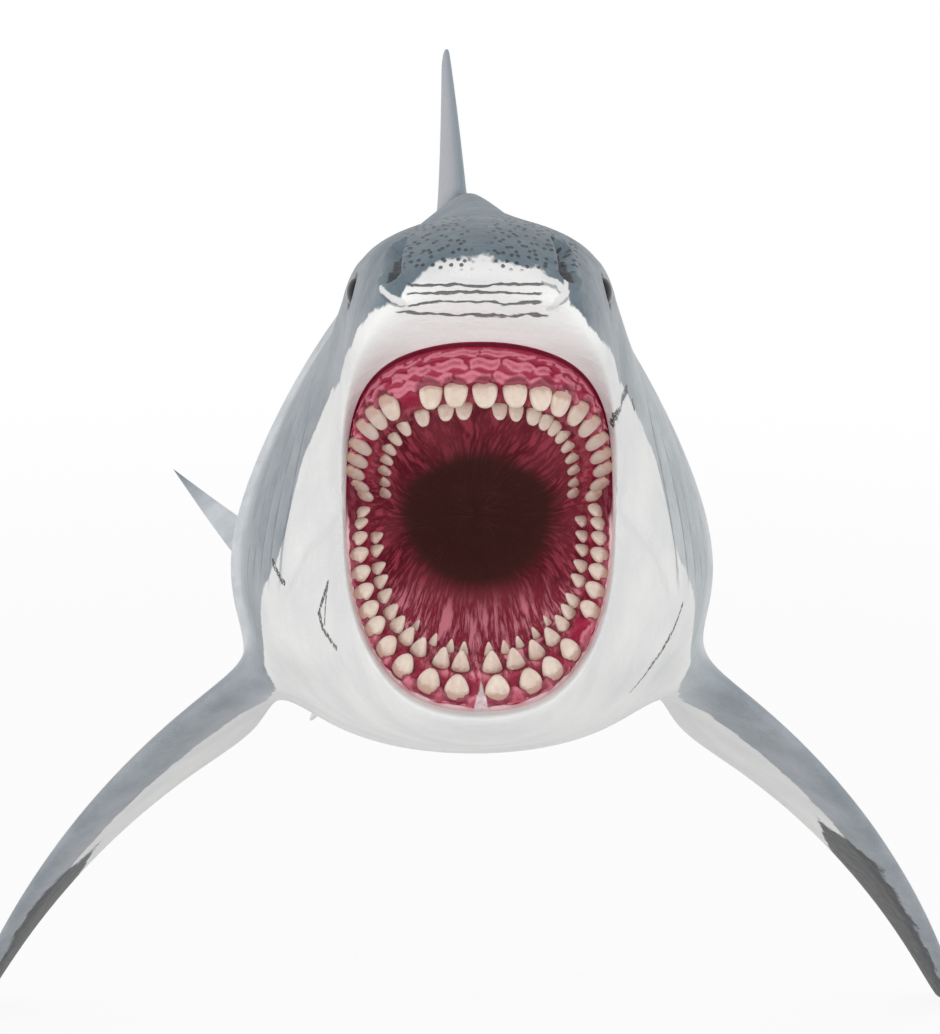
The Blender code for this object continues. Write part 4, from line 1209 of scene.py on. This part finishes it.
EYE_HEIGHT = 2.2
EYE_LENGTH = 3.0
EYE_BULGE = 1.5
EYE_SUNK = 0.35
EYE_BLACKS = srgb(14, 14, 16), srgb(24, 24, 28)
EYE_SHINE = 0.2
skin_tree = surface_of(skin_mesh, skin_worked)
eyes = bmesh.new()
for hand in (1, -1):
    made = bmesh.ops.create_uvsphere(eyes, u_segments=32, v_segments=20, radius=1)["verts"]
    bmesh.ops.scale(eyes, verts=made, vec=(EYE_BULGE, EYE_LENGTH, EYE_HEIGHT))
    on_skin, normal = skin_tree.find_nearest(Vector((EYE_PLACE[0] * hand, *EYE_PLACE[1:])))[:2]
    turn = Matrix.Rotation(math.atan2(normal.y, normal.x * hand) * hand, 3, "Z")
    bmesh.ops.rotate(eyes, verts=made, matrix=turn)
    bmesh.ops.translate(eyes, verts=made, vec=on_skin - normal * EYE_SUNK)
eye_mesh = bpy.data.meshes.new("eyes")
eyes.to_mesh(eye_mesh)
write_layer(eye_mesh, "place", values_of(eye_mesh, "co"))
material, shader, start = new_material("painted_eyes", 0.08)
place = start.layer("place", "Vector")
color = place.noise(0.6, 2.0).step(0.3, 0.7).blend(*EYE_BLACKS)
shader.inputs["Specular IOR Level"].default_value = EYE_SHINE
connect(shader, start, color, roughness=place.noise(1.5, 1.0) * 0.06 + 0.10)
eyes_obj = stand(eye_mesh, "eyes")
eye_mesh.materials.append(material)
for piece in (skin_obj, lining_obj, teeth_obj, eyes_obj):
    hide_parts("shark_figurine")

# Camera
# It stands in front of the jaws, level with them along the body, and looks a little down on the table.

CAMERA_PLACE = (-1.3, -560.0, 0.0)
FOCUS_PIXELS = 4200.0
FRAME_HEIGHT = 1034.0
camera = bpy.data.cameras.new("camera")
camera.lens = FOCUS_PIXELS / FRAME_HEIGHT * camera.sensor_width
camera.clip_start = 0.01
camera.clip_end = 100.0
camera_obj = bpy.data.objects.new("camera", camera)
eye_point = (stand_turn @ Vector(CAMERA_PLACE) + Vector(STAND_SHIFT)) * MM
looking = stand_turn.to_4x4() @ Matrix.Rotation(math.radians(90), 4, "X")
camera_obj.matrix_world = Matrix.Translation(eye_point) @ looking
bpy.context.scene.collection.objects.link(camera_obj)
bpy.context.scene.camera = camera_obj

# Studio
# The photograph was lit from all sides by large soft lights, on white, so that shadows nearly vanish.
# The floor and the surroundings show as white, and light the figure less than they show.

bpy.context.scene.view_settings.view_transform = "Standard"
SKY_LIGHT = 0.62
FLOOR_SIZE = 16.0
FLOOR_WHITE = srgb(240, 240, 240)
FLOOR_SHARE = 0.91
SHADE_START = 0.15
SHADE_END = 0.55
LIGHTS_AIM = (0, 0, 0.08)


def area_light(name, place, size, power):
    """A square soft light that looks at the figure."""
    lamp = bpy.data.lights.new(name, "AREA")
    lamp.size = size
    lamp.energy = power
    obj = bpy.data.objects.new(name, lamp)
    away = Vector(place) - Vector(LIGHTS_AIM)
    obj.matrix_world = Matrix.Translation(place) @ away.to_track_quat("Z", "Y").to_matrix().to_4x4()
    bpy.context.scene.collection.objects.link(obj)


area_light("front_light", (-0.15, -1.5, 0.22), 0.4, 4.6)
area_light("top_light", (0.2, 0.0, 1.5), 1.4, 1.4)
area_light("left_light", (-1.3, -0.5, 0.35), 0.9, 3.0)
area_light("right_light", (1.3, -0.5, 0.35), 0.9, 3.4)
world = bpy.context.scene.world or bpy.data.worlds.new("studio")
bpy.context.scene.world = world
world.use_nodes = True
world.node_tree.nodes.clear()
start = Wire(world.node_tree)


def seen(start):
    """1 for what the camera sees, straight or in a reflection or through glass."""
    names = ("Is Camera Ray", "Is Glossy Ray", "Is Transmission Ray")
    camera, glossy, through = (start.node("ShaderNodeLightPath", {}, {}, name) for name in names)
    return camera.larger(glossy).larger(through)


sky = start.node("ShaderNodeBackground", {}, {"Color": (1, 1, 1, 1), "Strength": SKY_LIGHT})
white = start.node("ShaderNodeBackground", {}, {"Color": (1, 1, 1, 1), "Strength": 1.0})
both = start.node("ShaderNodeMixShader", {}, {0: seen(start), 1: sky, 2: white})
output = world.node_tree.nodes.new("ShaderNodeOutputWorld")
world.node_tree.links.new(both.socket, output.inputs["Surface"])

floor = bmesh.new()
bmesh.ops.create_circle(floor, cap_ends=True, radius=FLOOR_SIZE / 2, segments=64)
floor_mesh = bpy.data.meshes.new("floor")
floor.to_mesh(floor_mesh)
floor_obj = bpy.data.objects.new("floor", floor_mesh)
bpy.context.scene.collection.objects.link(floor_obj)
material = bpy.data.materials.new("white_floor")
material.use_nodes = True
material.node_tree.nodes.clear()
start = Wire(material.node_tree)
from_middle = start.node("ShaderNodeTexCoord", {}, {}, "Object")
far = from_middle.vector("LENGTH", output=1).step(SHADE_START, SHADE_END)
share = seen(start) * (far * (1 - FLOOR_SHARE) + FLOOR_SHARE)
matt = start.node("ShaderNodeBsdfDiffuse", {}, {"Color": FLOOR_WHITE})
bright = start.node("ShaderNodeEmission", {}, {"Color": (1, 1, 1, 1), "Strength": 1.0})
both = start.node("ShaderNodeMixShader", {}, {0: share, 1: matt, 2: bright})
output = material.node_tree.nodes.new("ShaderNodeOutputMaterial")
material.node_tree.links.new(both.socket, output.inputs["Surface"])
floor_mesh.materials.append(material)
